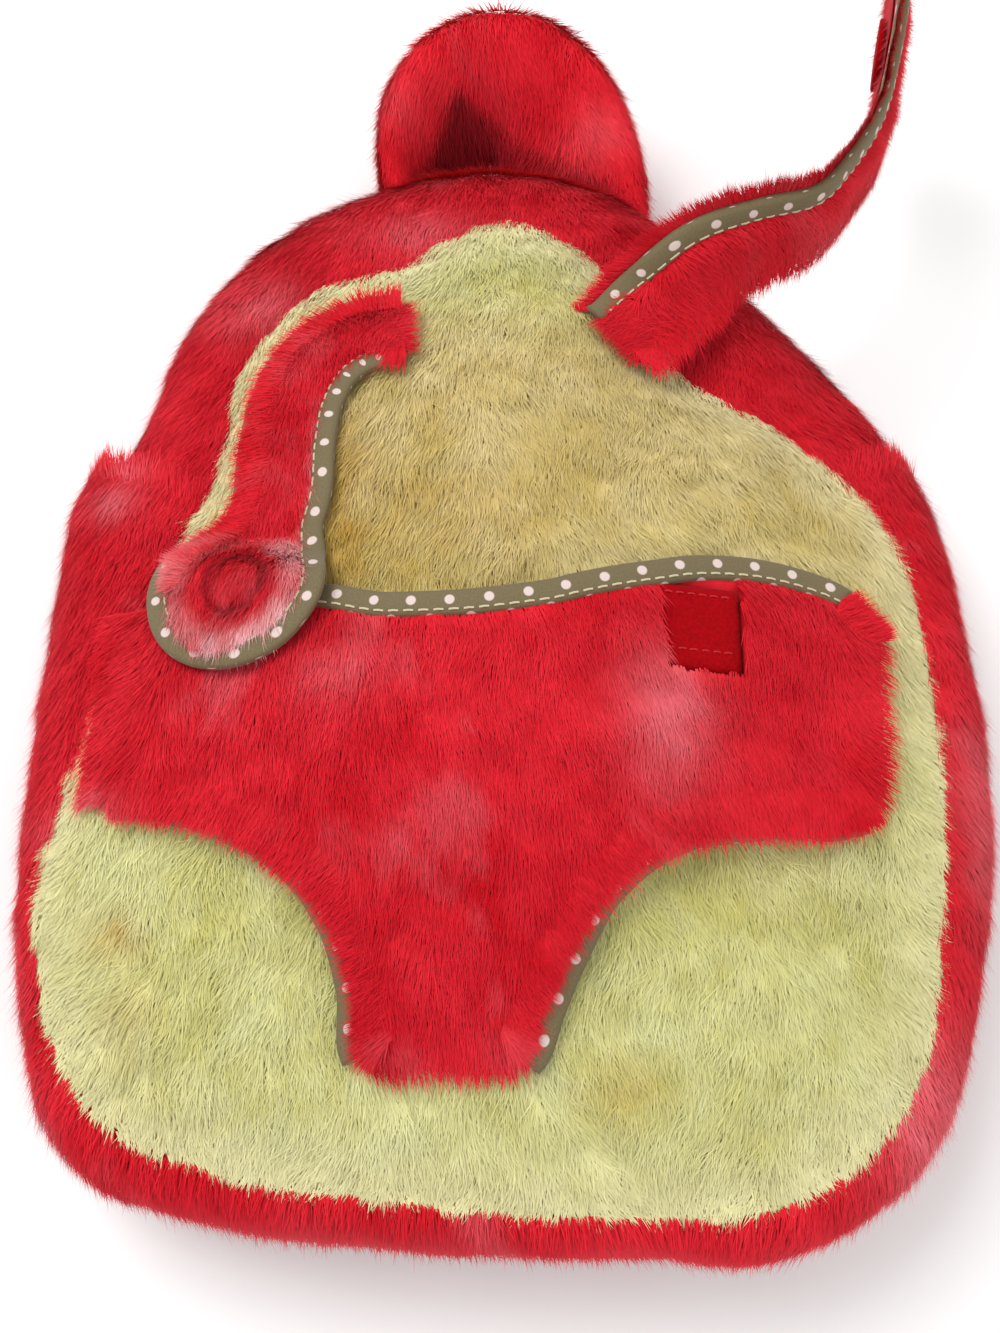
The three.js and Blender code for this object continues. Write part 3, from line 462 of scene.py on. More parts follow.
def dottedMaterial(name, cloth, dot, spacing, dotSize):
    # Printed tape: a square lattice of dots turned by 45 degrees on the map, over a fine weave.
    material, tree, shader = nodeMaterial(name, 0.75, sheen=0.15, specular=0.25)
    place = addNode(tree, "ShaderNodeUVMap", uv_map="clothMap")
    turned = addNode(
        tree, "ShaderNodeMapping", Rotation=(0.0, 0.0, math.pi / 4), Scale=(1.0 / spacing,) * 3)
    tree.links.new(place.outputs["UV"], turned.inputs["Vector"])
    cells = addNode(tree, "ShaderNodeTexVoronoi", voronoi_dimensions="2D", Scale=1.0, Randomness=0.05)
    tree.links.new(turned.outputs["Vector"], cells.inputs["Vector"])
    edge = addNode(tree, "ShaderNodeMapRange")
    edge.inputs["From Min"].default_value = dotSize / spacing / 2 * 1.12
    edge.inputs["From Max"].default_value = dotSize / spacing / 2 * 0.88
    tree.links.new(cells.outputs["Distance"], edge.inputs["Value"])
    weave = addNode(tree, "ShaderNodeTexNoise", Scale=1.6, Detail=4.0, Roughness=0.7)
    tree.links.new(place.outputs["UV"], weave.inputs["Vector"])
    mix = addNode(tree, "ShaderNodeMix", data_type="RGBA")
    mix.inputs["A"].default_value = (*(cloth * 0.5), 1.0)
    mix.inputs["B"].default_value = (*(cloth * 1.4), 1.0)
    tree.links.new(weave.outputs["Fac"], mix.inputs["Factor"])
    printed = addNode(tree, "ShaderNodeMix", data_type="RGBA")
    printed.inputs["B"].default_value = (*dot, 1.0)
    tree.links.new(mix.outputs["Result"], printed.inputs["A"])
    tree.links.new(edge.outputs["Result"], printed.inputs["Factor"])
    tree.links.new(printed.outputs["Result"], shader.inputs["Base Color"])
    fine = addNode(tree, "ShaderNodeTexNoise", Scale=3.5, Detail=2.0)
    tree.links.new(place.outputs["UV"], fine.inputs["Vector"])
    bump = addNode(tree, "ShaderNodeBump", Strength=0.35, Distance=0.0003)
    tree.links.new(fine.outputs["Fac"], bump.inputs["Height"])
    tree.links.new(bump.outputs["Normal"], shader.inputs["Normal"])
    return material


def speckledMaterial(name, colour, scale, roughness, depth, spread=0.2, sheen=0.0, specular=0.3):
    # Felt, thread or moulded plastic: noise in its colour, roughness and bump by Object coordinates.
    material, tree, shader = nodeMaterial(name, roughness, sheen=sheen, specular=specular)
    place = addNode(tree, "ShaderNodeTexCoord")
    noise = addNode(tree, "ShaderNodeTexNoise", Scale=scale, Detail=4.0, Roughness=0.65)
    tree.links.new(place.outputs["Object"], noise.inputs["Vector"])
    mix = addNode(tree, "ShaderNodeMix", data_type="RGBA")
    mix.inputs["A"].default_value = (*(colour * (1.0 - spread)), 1.0)
    mix.inputs["B"].default_value = (*(colour * (1.0 + spread)), 1.0)
    tree.links.new(noise.outputs["Fac"], mix.inputs["Factor"])
    tree.links.new(mix.outputs["Result"], shader.inputs["Base Color"])
    gloss = addNode(tree, "ShaderNodeMapRange")
    gloss.inputs["To Min"].default_value = roughness - 0.08
    gloss.inputs["To Max"].default_value = min(roughness + 0.1, 1.0)
    tree.links.new(noise.outputs["Fac"], gloss.inputs["Value"])
    tree.links.new(gloss.outputs["Result"], shader.inputs["Roughness"])
    bump = addNode(tree, "ShaderNodeBump", Strength=0.5, Distance=depth)
    tree.links.new(noise.outputs["Fac"], bump.inputs["Height"])
    tree.links.new(bump.outputs["Normal"], shader.inputs["Normal"])
    return material


dottedTape = dottedMaterial("dottedTape", linear(110, 98, 70), linear(206, 188, 182), 8.4, 3.0)
paleThread = speckledMaterial("paleThread", linear(186, 178, 146), 2500.0, 0.7, 0.0001)
redThread = speckledMaterial("redThread", linear(178, 22, 30), 2500.0, 0.7, 0.0001)
loopFelt = speckledMaterial(
    "loopFelt", linear(152, 4, 12), 900.0, 0.92, 0.0012, spread=0.6, sheen=0.03, specular=0.05)
redPlastic = speckledMaterial(
    "redPlastic", linear(168, 16, 28), 900.0, 0.42, 0.00004, spread=0.08, specular=0.5)
redWeave = wovenMaterial("redWebbing", linear(178, 22, 34), 0.8, 0.78)


def placesTone(x, y, places):
    # The largest of several soft spots: strength * exp(-(dx / wide)^2 - (dy / high)^2), broken up by noise.
    tone = np.zeros(len(x))
    for atX, atY, wide, high, strength in places:
        tone = np.maximum(tone, strength * np.exp(-((x - atX) / wide) ** 2 - ((y - atY) / high) ** 2))
    return np.clip(tone * (1.0 + 0.4 * cloud(x, y, 7.0, 23)), 0.0, 1.0)[:, None]


def yellowTones(spots, rng):
    # Tufts differ by noise and the middle is warmer. The rim is paler as a painted highlight, and hollows
    # and places in shade are golden as painted shade.
    x, y = spots[:, 0], spots[:, 1]
    bearing, reach = bearingAndReach(x, y)
    fullness = reach / readOutline(bearing)[0]
    upper = (smoothRamp(y, -50.0, 40.0) * (1.0 - smoothRamp(y, 90.0, 140.0)))[:, None]
    pale = blend(linear(224, 224, 170), linear(224, 210, 158), upper)
    deep = blend(linear(202, 198, 118), linear(204, 184, 112), upper)
    mix = 0.5 + 0.3 * cloud(x, y, 16.0, 21) + 0.3 * cloud(x, y, 5.0, 22) + 0.07 * rng.normal(size=len(x))
    tone = blend(pale, deep, np.clip(mix, 0.0, 1.0)[:, None])
    # Painted highlight: paler towards the rim.
    tone = blend(tone, linear(232, 226, 184), 0.6 * smoothRamp(fullness, 0.82, 1.0)[:, None])
    # Painted shade: golden in hollows and in shaded places.
    return blend(tone, linear(186, 146, 56), placesTone(x, y, paintedShadePlaces))


# Painted shade on the yellow pile: x, y, width, height and strength of golden spots in hollows and in
# shade, such as beside the left strap.
paintedShadePlaces = [
    (-52.0, 30.0, 16.0, 52.0, 0.8),
    (-22.0, 26.0, 40.0, 52.0, 0.4),
    (-112.0, -96.0, 7.0, 8.0, 0.5),
    (-106.0, -121.0, 8.0, 12.0, 0.3),
    (10.0, 55.0, 40.0, 60.0, 0.15),
    (80.0, -60.0, 22.0, 26.0, 0.3),
    (34.0, -140.0, 14.0, 9.0, 0.3),
]

# Paler rose places, each x, y, width, height and strength: where the red pile parts to show its pale roots,
# and along the gusset's rims a painted sheen.
roseAndSheenPlaces = [
    (48.0, -37.0, 13.0, 20.0, 0.75),
    (-48.0, -24.0, 13.0, 9.0, 0.3),
    (-126.0, -62.0, 14.0, 8.0, 0.5),
    (-128.0, 52.0, 9.0, 6.0, 0.8),
    (-84.0, 128.0, 16.0, 12.0, 0.5),
    (-28.0, 160.0, 22.0, 8.0, 0.45),
    (126.0, -150.0, 18.0, 26.0, 0.8),
    (146.0, -60.0, 8.0, 30.0, 0.5),
    (-146.0, -130.0, 8.0, 30.0, 0.35),
    (-60.0, -186.0, 40.0, 8.0, 0.35),
    (-40.0, 225.0, 10.0, 12.0, 0.3),
    (36.0, 215.0, 12.0, 12.0, 0.35),
]


def redTones(spots, rng, pink=1.0):
    # Crimson that varies by noise, with paler blotches, and rose places that are partly a painted sheen.
    x, y = spots[:, 0] + 0.8 * spots[:, 2], spots[:, 1] - 0.5 * spots[:, 2]
    dark, bright, rose = linear(200, 16, 32), linear(230, 44, 60), linear(232, 116, 126)
    mix = 0.5 + 0.3 * cloud(x, y, 20.0, 31) + 0.28 * cloud(x, y, 6.0, 32) + 0.08 * rng.normal(size=len(x))
    blotch = np.clip(1.1 * cloud(x, y, 26.0, 33) - 0.5 + 0.4 * cloud(x, y, 6.0, 34), 0.0, 1.0)[:, None]
    # Rose places: parted pile, and a painted sheen along the gusset's rims.
    partedAndSheen = placesTone(spots[:, 0], spots[:, 1], roseAndSheenPlaces)
    tone = blend(dark, bright, np.clip(mix, 0.0, 1.0)[:, None])
    return blend(tone, rose, np.clip(pink * (0.5 * blotch + partedAndSheen), 0.0, 0.9))


def strandCount(number):
    return number


def finishCloth(node):
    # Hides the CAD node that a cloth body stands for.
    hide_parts(node)


def addRedCloth(name, rings, fill, node, **form):
    # A padded body of red cloth, in the tone of its pile's roots, painted shade included.
    tone = redTones(rings.reshape(-1, 3), np.random.default_rng(9)) * redRootShade
    body = addBody(name, rings, redPile, tone=tone, **form)
    finishCloth(node)


def towards(normals, away):
    # Normals turned to the side on which they point away.
    return normals * np.sign(np.einsum("ij,ij->i", normals, away))[:, None]


# Front panel: a padded dome under the pale yellow pile.
panel = {
    "wall": 7.0,
    "skin": 1.5,  # how far under the solid's face the cloth lies
    "strands": 120000,
    "curl": 0.62,  # stray of its lower part
    "pile": {"length": 8.5, "width": 0.5, "lift": 9.0, "uneven": 0.2, "stray": 0.4,
             "relief": 1.1, "tuftSize": 8.0, "loose": 0.12, "looseLift": 16.0},
}


def panelSheet(fullness, turn, drop):
    # Rings at shares of the seam's reach, dropped under the domed face.
    bearing = 360.0 * turn
    spot = bagPoint(bearing, fullness * readOutline(bearing)[0], 0.0)
    spot[..., 2] = panelHeight(spot[..., 0], spot[..., 1], fullness) - drop
    return spot


def buildPanel():
    rng = np.random.default_rng(401)
    fullness, turn = meshGrid(46, 181)
    fullness = fullness ** 0.7
    outer = panelSheet(fullness, turn, panel["skin"])
    inner = panelSheet(fullness, turn, panel["wall"])
    rings = np.concatenate([outer[:, :-1], inner[::-1, :-1]])
    # The cloth takes the pile's root tone, painted shade included.
    tone = yellowTones(rings.reshape(-1, 3), rng) * yellowRootShade
    cloth = addBody("frontPanelCloth", rings, yellowPile, capped=False, tone=tone, welded=True)
    finishCloth("front_panel")
    covered = harnessCovers(outer)
    weight = np.where(covered[:-1, :-1] & covered[1:, 1:], 0.02, 1.0)
    spots, normals, share, _ = scatter(outer, strandCount(panel["strands"]), rng, weight)
    outward = unit(spots * [1.0, 1.0, 0.0])
    edge = smoothRamp(share, 0.8, 1.0)
    comb = np.array([0.0, -1.0, 0.0]) + outward * (0.15 + 0.9 * edge * (outward[:, 1] < 0.4))[:, None]
    straight = smoothRamp(spots[:, 1], -70.0, -10.0)
    curly = dict(panel["pile"], stray=blend(panel["curl"], panel["pile"]["stray"], straight))
    points, shading = growPile(spots, normals, comb, curly, rng, 1.0 - 0.5 * smoothRamp(share, 0.86, 1.0))
    tones = strandTones(yellowTones(spots, rng), yellowRootShade)
    pileObject("frontPanelPile", points, shading, tones, yellowPile)


# Harness: its band and leg piece over the panel.
harness = {
    "width": 240.0,
    "drop": 145.0,
    "top": 5.0,
    "wall": 7.0,
    "lift": 12.0,
    "flat": 0.42,
    "sewnFrom": 0.3,
    "sewnTo": 0.95,
    "gap": 0.6,
    "skin": 1.5,
    "strands": 60000,
    # Fur that hangs over an edge: its side, from one row to another in so many steps, rooted from
    # how far past the edge to how far along it, and its strands.
    "overhangs": (
        (2, 0.5, 6.0, 90, -9.0, (2.5, 2.5, 2.2, 0.8, -1.2, -2.6, -3.0), 9500),
        (2, 8.0, 14.7, 90, -9.0, (-4.4, -4.0, -2.2, 1.0, 2.5, 2.5, 2.5), 9500),
        (0, 15.0, 14.1, 30, -5.0, (-4.5, -2.0, 1.0), 1500),
    ),
    "pile": {"length": 7.5, "width": 0.48, "lift": 9.0, "uneven": 0.2, "stray": 0.32,
             "relief": 0.7, "tuftSize": 8.0, "loose": 0.1, "looseLift": 16.0},
}

# From its left end to its right: a point of its top edge and one of its lower edge.
harnessRows = np.array([
    [-1.03, 0.01, -1.05, 0.44], [-0.85, -0.01, -0.87, 0.45], [-0.67, 0.01, -0.67, 0.5],
    [-0.52, 0.05, -0.49, 0.59], [-0.42, 0.07, -0.38, 0.71], [-0.34, 0.09, -0.33, 0.84],
    [-0.26, 0.1, -0.31, 0.97], [-0.08, 0.1, -0.14, 0.975], [0.11, 0.08, 0.04, 0.97],
    [0.2, 0.06, 0.1, 0.87], [0.29, 0.04, 0.16, 0.76], [0.39, 0.02, 0.25, 0.64],
    [0.52, -0.005, 0.42, 0.54], [0.7, -0.015, 0.67, 0.5], [0.87, 0.01, 0.84, 0.49],
    [0.98, 0.08, 0.95, 0.45],
])


def harnessEdge(side, share):
    # Side 0 is the top edge and 2 the lower one.
    row = readRows(harnessRows, share)
    x = harness["width"] / 2 * row[..., side]
    return np.stack([x, harness["top"] - harness["drop"] * row[..., side + 1]], axis=-1)


def harnessStand(x, y):
    # Lifted by (1 - (x / 0.42 width)^2)^1.5 in the middle, and sewn down towards its foot.
    fromMiddle = np.minimum((x / (harness["width"] * harness["flat"])) ** 2, 1.0)
    down = smoothRamp((harness["top"] - y) / harness["drop"], harness["sewnFrom"], harness["sewnTo"])
    return harness["gap"] + harness["lift"] * (1.0 - fromMiddle) ** 1.5 * (1.0 - down)


def harnessPlace(flat, height):
    # (x, y, the bag's front + the harness's stand + height).
    x, y = flat[..., 0], flat[..., 1]
    return np.stack(np.broadcast_arrays(x, y, frontHeight(x, y) + harnessStand(x, y) + height), axis=-1)


def harnessSheet(along, across, drop, raised=True):
    # Straight across from the top edge to the lower one, its face thinner by 0.35 s^6 at both.
    flat = blend(harnessEdge(0, along), harnessEdge(2, along), across[..., None])
    rounding = 1.0 - 0.35 * np.abs(2.0 * across - 1.0) ** 6
    return harnessPlace(flat, harness["wall"] * rounding - drop if raised else 0.0 * across)


def harnessCovers(grid):
    # Where the harness hides the panel: inside its outline, 8 mm in from its edges.
    x, y = grid[..., 0], grid[..., 1]
    share = np.linspace(0.0, 1.0, 400)
    topEdge, lowEdge = harnessEdge(0, share), harnessEdge(2, share)
    top = np.interp(x, topEdge[:, 0], topEdge[:, 1])
    order = np.argsort(lowEdge[:, 0])
    low = np.interp(x, lowEdge[order, 0], lowEdge[order, 1])
    return (y < top - 8.0) & (y > low + 8.0) & (np.abs(x) < harness["width"] * 0.46)


patch = {
    "size": 27.0,
    "thickness": 1.5,
    "sink": 4.0,
    "right": (61.0, 16.5),  # across, and down from the harness top line
    "left": (-88.0, 15.5),
    "stitchRows": (10.6, -7.4),
    "stitchFrom": -11.4,
    "stitchTo": 9.5,
    "stitchPitch": 3.7,
    "stitchLength": 2.5,
    "stitchWidth": 0.5,
    "tabRadius": 12.5,
}


def patchAxes(where):
    # Columns across, along and out of the harness face over a patch, and its middle.
    x, y = where[0], harness["top"] - where[1]
    reach = patch["size"] / 2
    face = lambda px, py: harnessPlace(np.array([px, py]), harness["wall"])
    across = unit(face(x + reach, y) - face(x - reach, y))
    along = unit(face(x, y + reach) - face(x, y - reach))
    out = unit(np.cross(across, along))
    return np.stack([across, np.cross(out, across), out]), face(x, y)


def patchLocal(spots, where):
    # Points in a patch's own across, along and out.
    axes, middle = patchAxes(where)
    return (spots - middle) @ axes.T


def buildHarness():
    rng = np.random.default_rng(402)
    along, across = meshGrid(170, 60)
    outer = harnessSheet(along, across, harness["skin"])
    inner = harnessSheet(along, across, 0.0, raised=False)
    half = patch["size"] / 2
    sunk = outer.copy()
    for where in (patch["right"], patch["left"]):
        away = np.abs(outer[..., :2] - [where[0], harness["top"] - where[1]]).max(axis=-1)
        sunk[..., 2] -= (patch["sink"] - 0.8) * (1.0 - smoothRamp(away, half, half + 3.0))
    addRedCloth("harnessCloth", wallRings(sunk, inner), 0.35, "harness_body")
    spots, normals, _, _ = scatter(outer, strandCount(harness["strands"]), rng)
    local = patchLocal(spots, patch["right"])
    ragged = 1.2 * cloud(local[:, 0], local[:, 1], 2.5, 42)
    bare = np.abs(local[:, 0]) < half + ragged
    bare &= (local[:, 1] > ragged - half - 0.5) & (local[:, 1] < half + 5.0)
    bare |= np.linalg.norm((spots - strapEndMiddle())[:, :2], axis=-1) < strap["endRadius"] - 4.0
    spots, normals = spots[~bare], towards(normals[~bare], np.array([[0.0, 0.0, 1.0]]))
    sideways = 1.4 * np.sign(spots[:, 0]) * smoothRamp(np.abs(spots[:, 0]), 98.0, 120.0)
    comb = np.array([0.1, -1.0, 0.0]) + sideways[:, None] * [1.0, 0.0, 0.0]
    parts = [(spots, *growPile(spots, normals, comb, harness["pile"], rng))]
    wall, fur, last = harness["wall"], harness["pile"], len(harnessRows) - 1
    for side, fromRow, toRow, steps, near, far, strands in harness["overhangs"]:
        edge = harnessEdge(side, np.linspace(fromRow, toRow, steps) / last)
        parts.append(growOver(edge, harnessPlace, wall, near, far, strands, fur, rng))
    addRedPile("harnessPile", parts, rng)


def growOver(edge, place, wall, inner, outer, count, pile, rng, level=None):
    # Pile rooted over a tape's inner part at the height of its top, and combed out past its edge.
    # It is rooted from inner to outer past the cloth's edge, and outer is read along the edge.
    outward = outwardOf(edge)
    count = strandCount(count)
    at = rng.random(count) * (len(edge) - 1)
    steps = np.arange(len(edge))
    take = lambda table: np.stack([np.interp(at, steps, table[:, k]) for k in (0, 1)], axis=-1)
    limit = np.interp(at, np.linspace(0, len(edge) - 1, len(outer)), outer)
    flat = take(edge) + take(outward) * blend(inner, limit, rng.random(count))[:, None]
    height = np.full(count, (wall + tape["thickness"]) / 2.0 if level is None else level)
    spots = place(flat, height)
    normals = unit(place(flat, height + 1.0) - spots)
    comb = unit(place(flat + take(outward), height) - spots) + np.array([0.0, -0.5, 0.0])
    flatPile = dict(pile, lift=2.0, relief=0.25)
    return (spots, *growPile(spots, normals, comb, flatPile, rng))


def growEnd(grid, count, pile, rng):
    # Pile over the first rows of a sheet, combed out past its end.
    spots, normals, _, _ = scatter(grid[:4], strandCount(count), rng)
    comb = unit(grid[0] - grid[3]).mean(axis=0) + np.zeros_like(spots)
    return (spots, *growPile(spots, towards(normals, np.array([[0.0, 0.0, 1.0]])), comb, pile, rng))


def addRedPile(name, parts, rng, pink=1.0, shade=None):
    # One mesh of red strands from parts of roots, strand points and shading normals.
    spots, points, shading = (np.concatenate([part[k] for part in parts]) for k in range(3))
    tip = redTones(spots, rng, pink)
    if shade is not None:
        tip = shade(spots, tip)
    return pileObject(name, points, shading, strandTones(tip, redRootShade), redPile)


def ovalSection(sides, power):
    # A squarish oval: cos and sin to the power 2 / power, keeping their signs.
    angle = (np.arange(sides) + 0.5) / sides * 2.0 * np.pi
    square = lambda value: np.sign(value) * np.abs(value) ** (2.0 / power)
    return np.stack([square(np.cos(angle)), square(np.sin(angle))], axis=-1)


tape = {
    "width": 6.6,
    "thickness": 4.6,
    "overlap": 1.2,  # how far it is folded in over the cloth's edge
    "seamGap": 0.4,
    "stitchIn": 1.5,  # from its inner edge to the stitch line
    "stitchLength": 3.0,
    "stitchGap": 1.5,
    "stitchWidth": 0.6,
}


stitchCorners = ((-0.5, 0.0), (0.5, 0.0), (0.5, 0.45), (-0.5, 0.45))  # shares of its width, and rise


def outwardOf(edge):
    # A plane curve's right-hand normal, from its neighbours' difference.
    ahead = np.gradient(edge, axis=0)
    return unit(np.stack([ahead[:, 1], -ahead[:, 0]], axis=-1))


def addTape(name, edge, place, wall, node):
    # A tape folded over a cloth edge: an oval bar outside a plane curve, on the right of its travel.
    section = ovalSection(14, 2.6)
    outward = outwardOf(edge)
    half = (tape["width"] + tape["seamGap"] + tape["overlap"]) / 2.0
    away = half * (1.0 + section[:, 0]) - tape["overlap"]
    flat = edge[:, None] + outward[:, None] * away[None, :, None]
    height = (wall + tape["thickness"] * section[:, 1]) / 2.0
    rings = place(flat, np.broadcast_to(height, flat.shape[:2]))
    run = np.concatenate([[0.0], np.cumsum(np.linalg.norm(np.diff(edge, axis=0), axis=-1))])
    oval = section * [half, tape["thickness"] / 2]
    around = np.cumsum(np.linalg.norm(oval - np.roll(oval, 1, axis=0), axis=-1))
    uv = np.stack(np.broadcast_arrays(run[:, None], around[None, :] + 0.4), axis=-1)
    body = addBody(name, rings, dottedTape, uv=uv)
    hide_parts(node)
    pitch = tape["stitchLength"] + tape["stitchGap"]
    starts = np.arange(1.0, run[-1] - tape["stitchLength"], pitch)
    steps = starts[:, None] + tape["stitchLength"] * np.array([0.0, 0.5, 1.0])
    spot = np.stack([np.interp(steps, run, edge[:, k]) for k in (0, 1)], axis=-1)
    side = unit(np.stack([np.interp(steps, run, outward[:, k]) for k in (0, 1)], axis=-1))
    inside = tape["stitchIn"] - tape["overlap"]
    share = tape["stitchIn"] / half - 1.0
    level = (wall + tape["thickness"] * (1.0 - abs(share) ** 2.6) ** (1 / 2.6)) / 2.0
    corners = []
    for across, up in stitchCorners:
        flat = spot + side * (inside + across * tape["stitchWidth"])
        rise = np.array([0.05, up, 0.05])
        corners.append(place(flat, np.broadcast_to(level + rise, flat.shape[:2])))
    addStitches(f"{name}Stitches", np.stack(corners, axis=2), paleThread)


def addStitches(name, blocks, material):
    # Blocks of points (stitch, step, corner), each a small bar with closed ends.
    count, steps, around = blocks.shape[:3]
    i, j = np.meshgrid(np.arange(steps - 1), np.arange(around), indexing="ij")
    nextJ = (j + 1) % around
    row, nextRow = i * around, (i + 1) * around
    quads = np.stack([row + j, row + nextJ, nextRow + nextJ, nextRow + j], axis=-1)
    ends = np.array([[3, 2, 1, 0], [0, 1, 2, 3]]) + np.array([[0], [(steps - 1) * around]])
    every = np.concatenate([quads.reshape(-1, 4), ends])
    faces = (np.arange(count)[:, None, None] * steps * around + every[None]).reshape(-1, 4)
    points = blocks.reshape(-1, 3)
    first = points[faces[: len(every)]]
    first = first - first[0, 0]
    volume = np.einsum("ij,ij->", first[:, 0], np.cross(first[:, 1], first[:, 2]))
    if volume < 0:
        faces = faces[:, ::-1]
    return addMesh(name, points, faces.ravel(), np.full(len(faces), 4), material)


def buildHarnessTapes():
    # Each tape runs along its edge between two rows.
    last = len(harnessRows) - 1
    pieces = (
        ("harnessTopTape", 0, last - 0.8, 2.6, 150, "harness_binding_top"),
        ("harnessLeftLegTape", 2, 0.6, 5.9, 90, "harness_binding_left_leg"),
        ("harnessRightLegTape", 2, 8.1, last - 0.6, 110, "harness_binding_right_leg"),
    )
    for name, side, fromRow, toRow, steps, node in pieces:
        edge = harnessEdge(side, np.linspace(fromRow, toRow, steps) / last)
        addTape(name, edge, harnessPlace, harness["wall"], node)


def addPatch(name, where, node):
    # Loop felt square: a flat slab whose edges are rounded by (1 - |s|^8).
    axes, middle = patchAxes(where)
    across, along = meshGrid(25, 25)
    u, v = 2.0 * across - 1.0, 2.0 * along - 1.0
    edge = np.clip((1.0 - u ** 8) * (1.0 - v ** 8), 0.0, 1.0) ** 0.5
    low = -patch["sink"]
    high = low + 0.3 + (patch["thickness"] - 0.3) * edge + 0.12 * cloud(u * 13.5, v * 13.5, 2.2, 51)
    half = patch["size"] / 2
    top = np.stack([u * half, v * half, high], axis=-1) @ axes + middle
    under = np.stack([u * half, v * half, np.full_like(u, low)], axis=-1) @ axes + middle
    body = addBody(name, wallRings(top, under), loopFelt)
    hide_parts(node)
    starts = np.arange(patch["stitchFrom"], patch["stitchTo"], patch["stitchPitch"])
    steps = starts[:, None] + patch["stitchLength"] * np.array([0.0, 0.5, 1.0])
    blocks = []
    for row in patch["stitchRows"]:
        corners = []
        for side, up in stitchCorners:
            beside = row + side * patch["stitchWidth"]
            rise = low + patch["thickness"] + np.array([0.0, up, 0.0])
            corners.append(np.stack(np.broadcast_arrays(steps, beside, rise), axis=-1))
        blocks.append(np.stack(corners, axis=2) @ axes + middle)
    addStitches(f"{name}Stitches", np.concatenate(blocks), redThread)


def addTab(name, axes, middle, low, node):
    # Round hook tab: a disc from its rim's lower edge to its middle on top.
    turn = np.linspace(0.0, 2.0 * np.pi, 48, endpoint=False)
    radius = patch["tabRadius"] * np.array([0.0, 0.96, 1.0, 1.0, 0.96, 0.0])
    height = np.array([low, low, low + 0.3, -0.3, 0.0, 0.0]) - 0.3
    rings = np.stack(np.broadcast_arrays(
        radius[:, None] * np.cos(turn), radius[:, None] * np.sin(turn), height[:, None]), axis=-1)
    body = addBody(name, rings @ axes + middle, loopFelt, capped=False, welded=True)
    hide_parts(node)


# Harness straps: laid out flat as length and width, then bent into place.
strap = {
    "width": 20.0,
    "thickness": 7.0,
    "endRadius": 23.0,
    "flare": 28.0,
    "climb": 20.0,  # length of the slope from the panel on to the band
    "drape": 16.0,
    "skin": 1.4,
    "underSkin": 1.6,
    "leftStrands": 24000,
    "rightStrands": 14000,
    "edgeSteps": 300,
    # Fur over the tapes: between two steps of the strap's edge, rooted from how far past the edge to
    # how far along it, at what height (none for the tape's top), and its strands.
    "fastenedOver": (
        (0, 99, -7.0, (3.0, 3.0, 3.0, 2.6, 1.6, -1.5, -3.5), None, 7200),
        (296, 300, -3.0, (0.5, 5.0), None, 350),
    ),
    "freeOver": (
        (0, 150, -5.0, (6.0,), 6.5, 10800),
        (150, 300, 5.5, (7.5,), 2.0, 10800),
    ),
    "leftEndStrands": 1400,
    "rightEndStrands": 1600,
    "pile": {"length": 6.5, "width": 0.45, "lift": 10.0, "uneven": 0.22, "stray": 0.35,
             "relief": 0.6, "tuftSize": 7.0, "loose": 0.14, "looseLift": 18.0},
    "dimpleRadius": 10.0,
}

fastenedRows = np.array([
    [0.0, 0.0], [0.064, 0.1], [0.177, 0.159], [0.314, 0.155], [0.455, 0.107], [0.582, 0.048],
    [0.691, 0.023], [0.782, 0.015], [0.873, 0.007], [0.96, -0.002], [1.04, -0.008],
])

# The free strap: x and y as shares of the half sizes, share of its drape, and turn in degrees.
freeRows = np.array([
    [0.27, 0.545, 0.0, 0], [0.35, 0.61, 0.3, 20], [0.43, 0.68, 0.65, 52], [0.56, 0.745, 0.7, 74],
    [0.68, 0.79, 0.6, 82], [0.75, 0.86, 0.5, 84], [0.83, 0.97, 0.4, 84], [0.875, 1.08, 0.35, 84],
    [0.91, 1.22, 0.3, 84], [0.92, 1.3, 0.25, 84],
])


def smoothCurve(points, samples=600):
    # A centripetal Catmull-Rom line through the points, as samples, their run and their parameter.
    points = np.concatenate([[2 * points[0] - points[1]], points, [2 * points[-1] - points[-2]]])
    last = len(points) - 3
    t = np.linspace(0.0, 1.0, samples)
    place = t * last
    row = np.minimum(np.floor(place).astype(int), last - 1)
    a, b, c, d = (points[row + k] for k in range(4))
    w = (place - row)[:, None]
    gap = lambda p, q: np.sqrt(np.linalg.norm(p - q, axis=-1, keepdims=True))
    g0, g1, g2 = gap(a, b), gap(b, c), gap(c, d)
    slopeIn = ((b - a) / g0 - (c - a) / (g0 + g1) + (c - b) / g1) * g1
    slopeOut = ((c - b) / g1 - (d - b) / (g1 + g2) + (d - c) / g2) * g1
    line = cubic(b, c, slopeIn, slopeOut, w)
    run = np.concatenate([[0.0], np.cumsum(np.linalg.norm(np.diff(line, axis=0), axis=-1))])
    return line, run, t


def alongCurve(line, run, at):
    # Point and unit direction of a sampled curve at a run, straight on past its ends.
    inside = np.clip(at, 0.0, run[-1])
    slope = np.gradient(line, axis=0)
    spot = np.stack([np.interp(inside, run, line[:, k]) for k in range(3)], axis=-1)
    ahead = unit(np.stack([np.interp(inside, run, slope[:, k]) for k in range(3)], axis=-1))
    return spot + ahead * (at - inside)[..., None], ahead


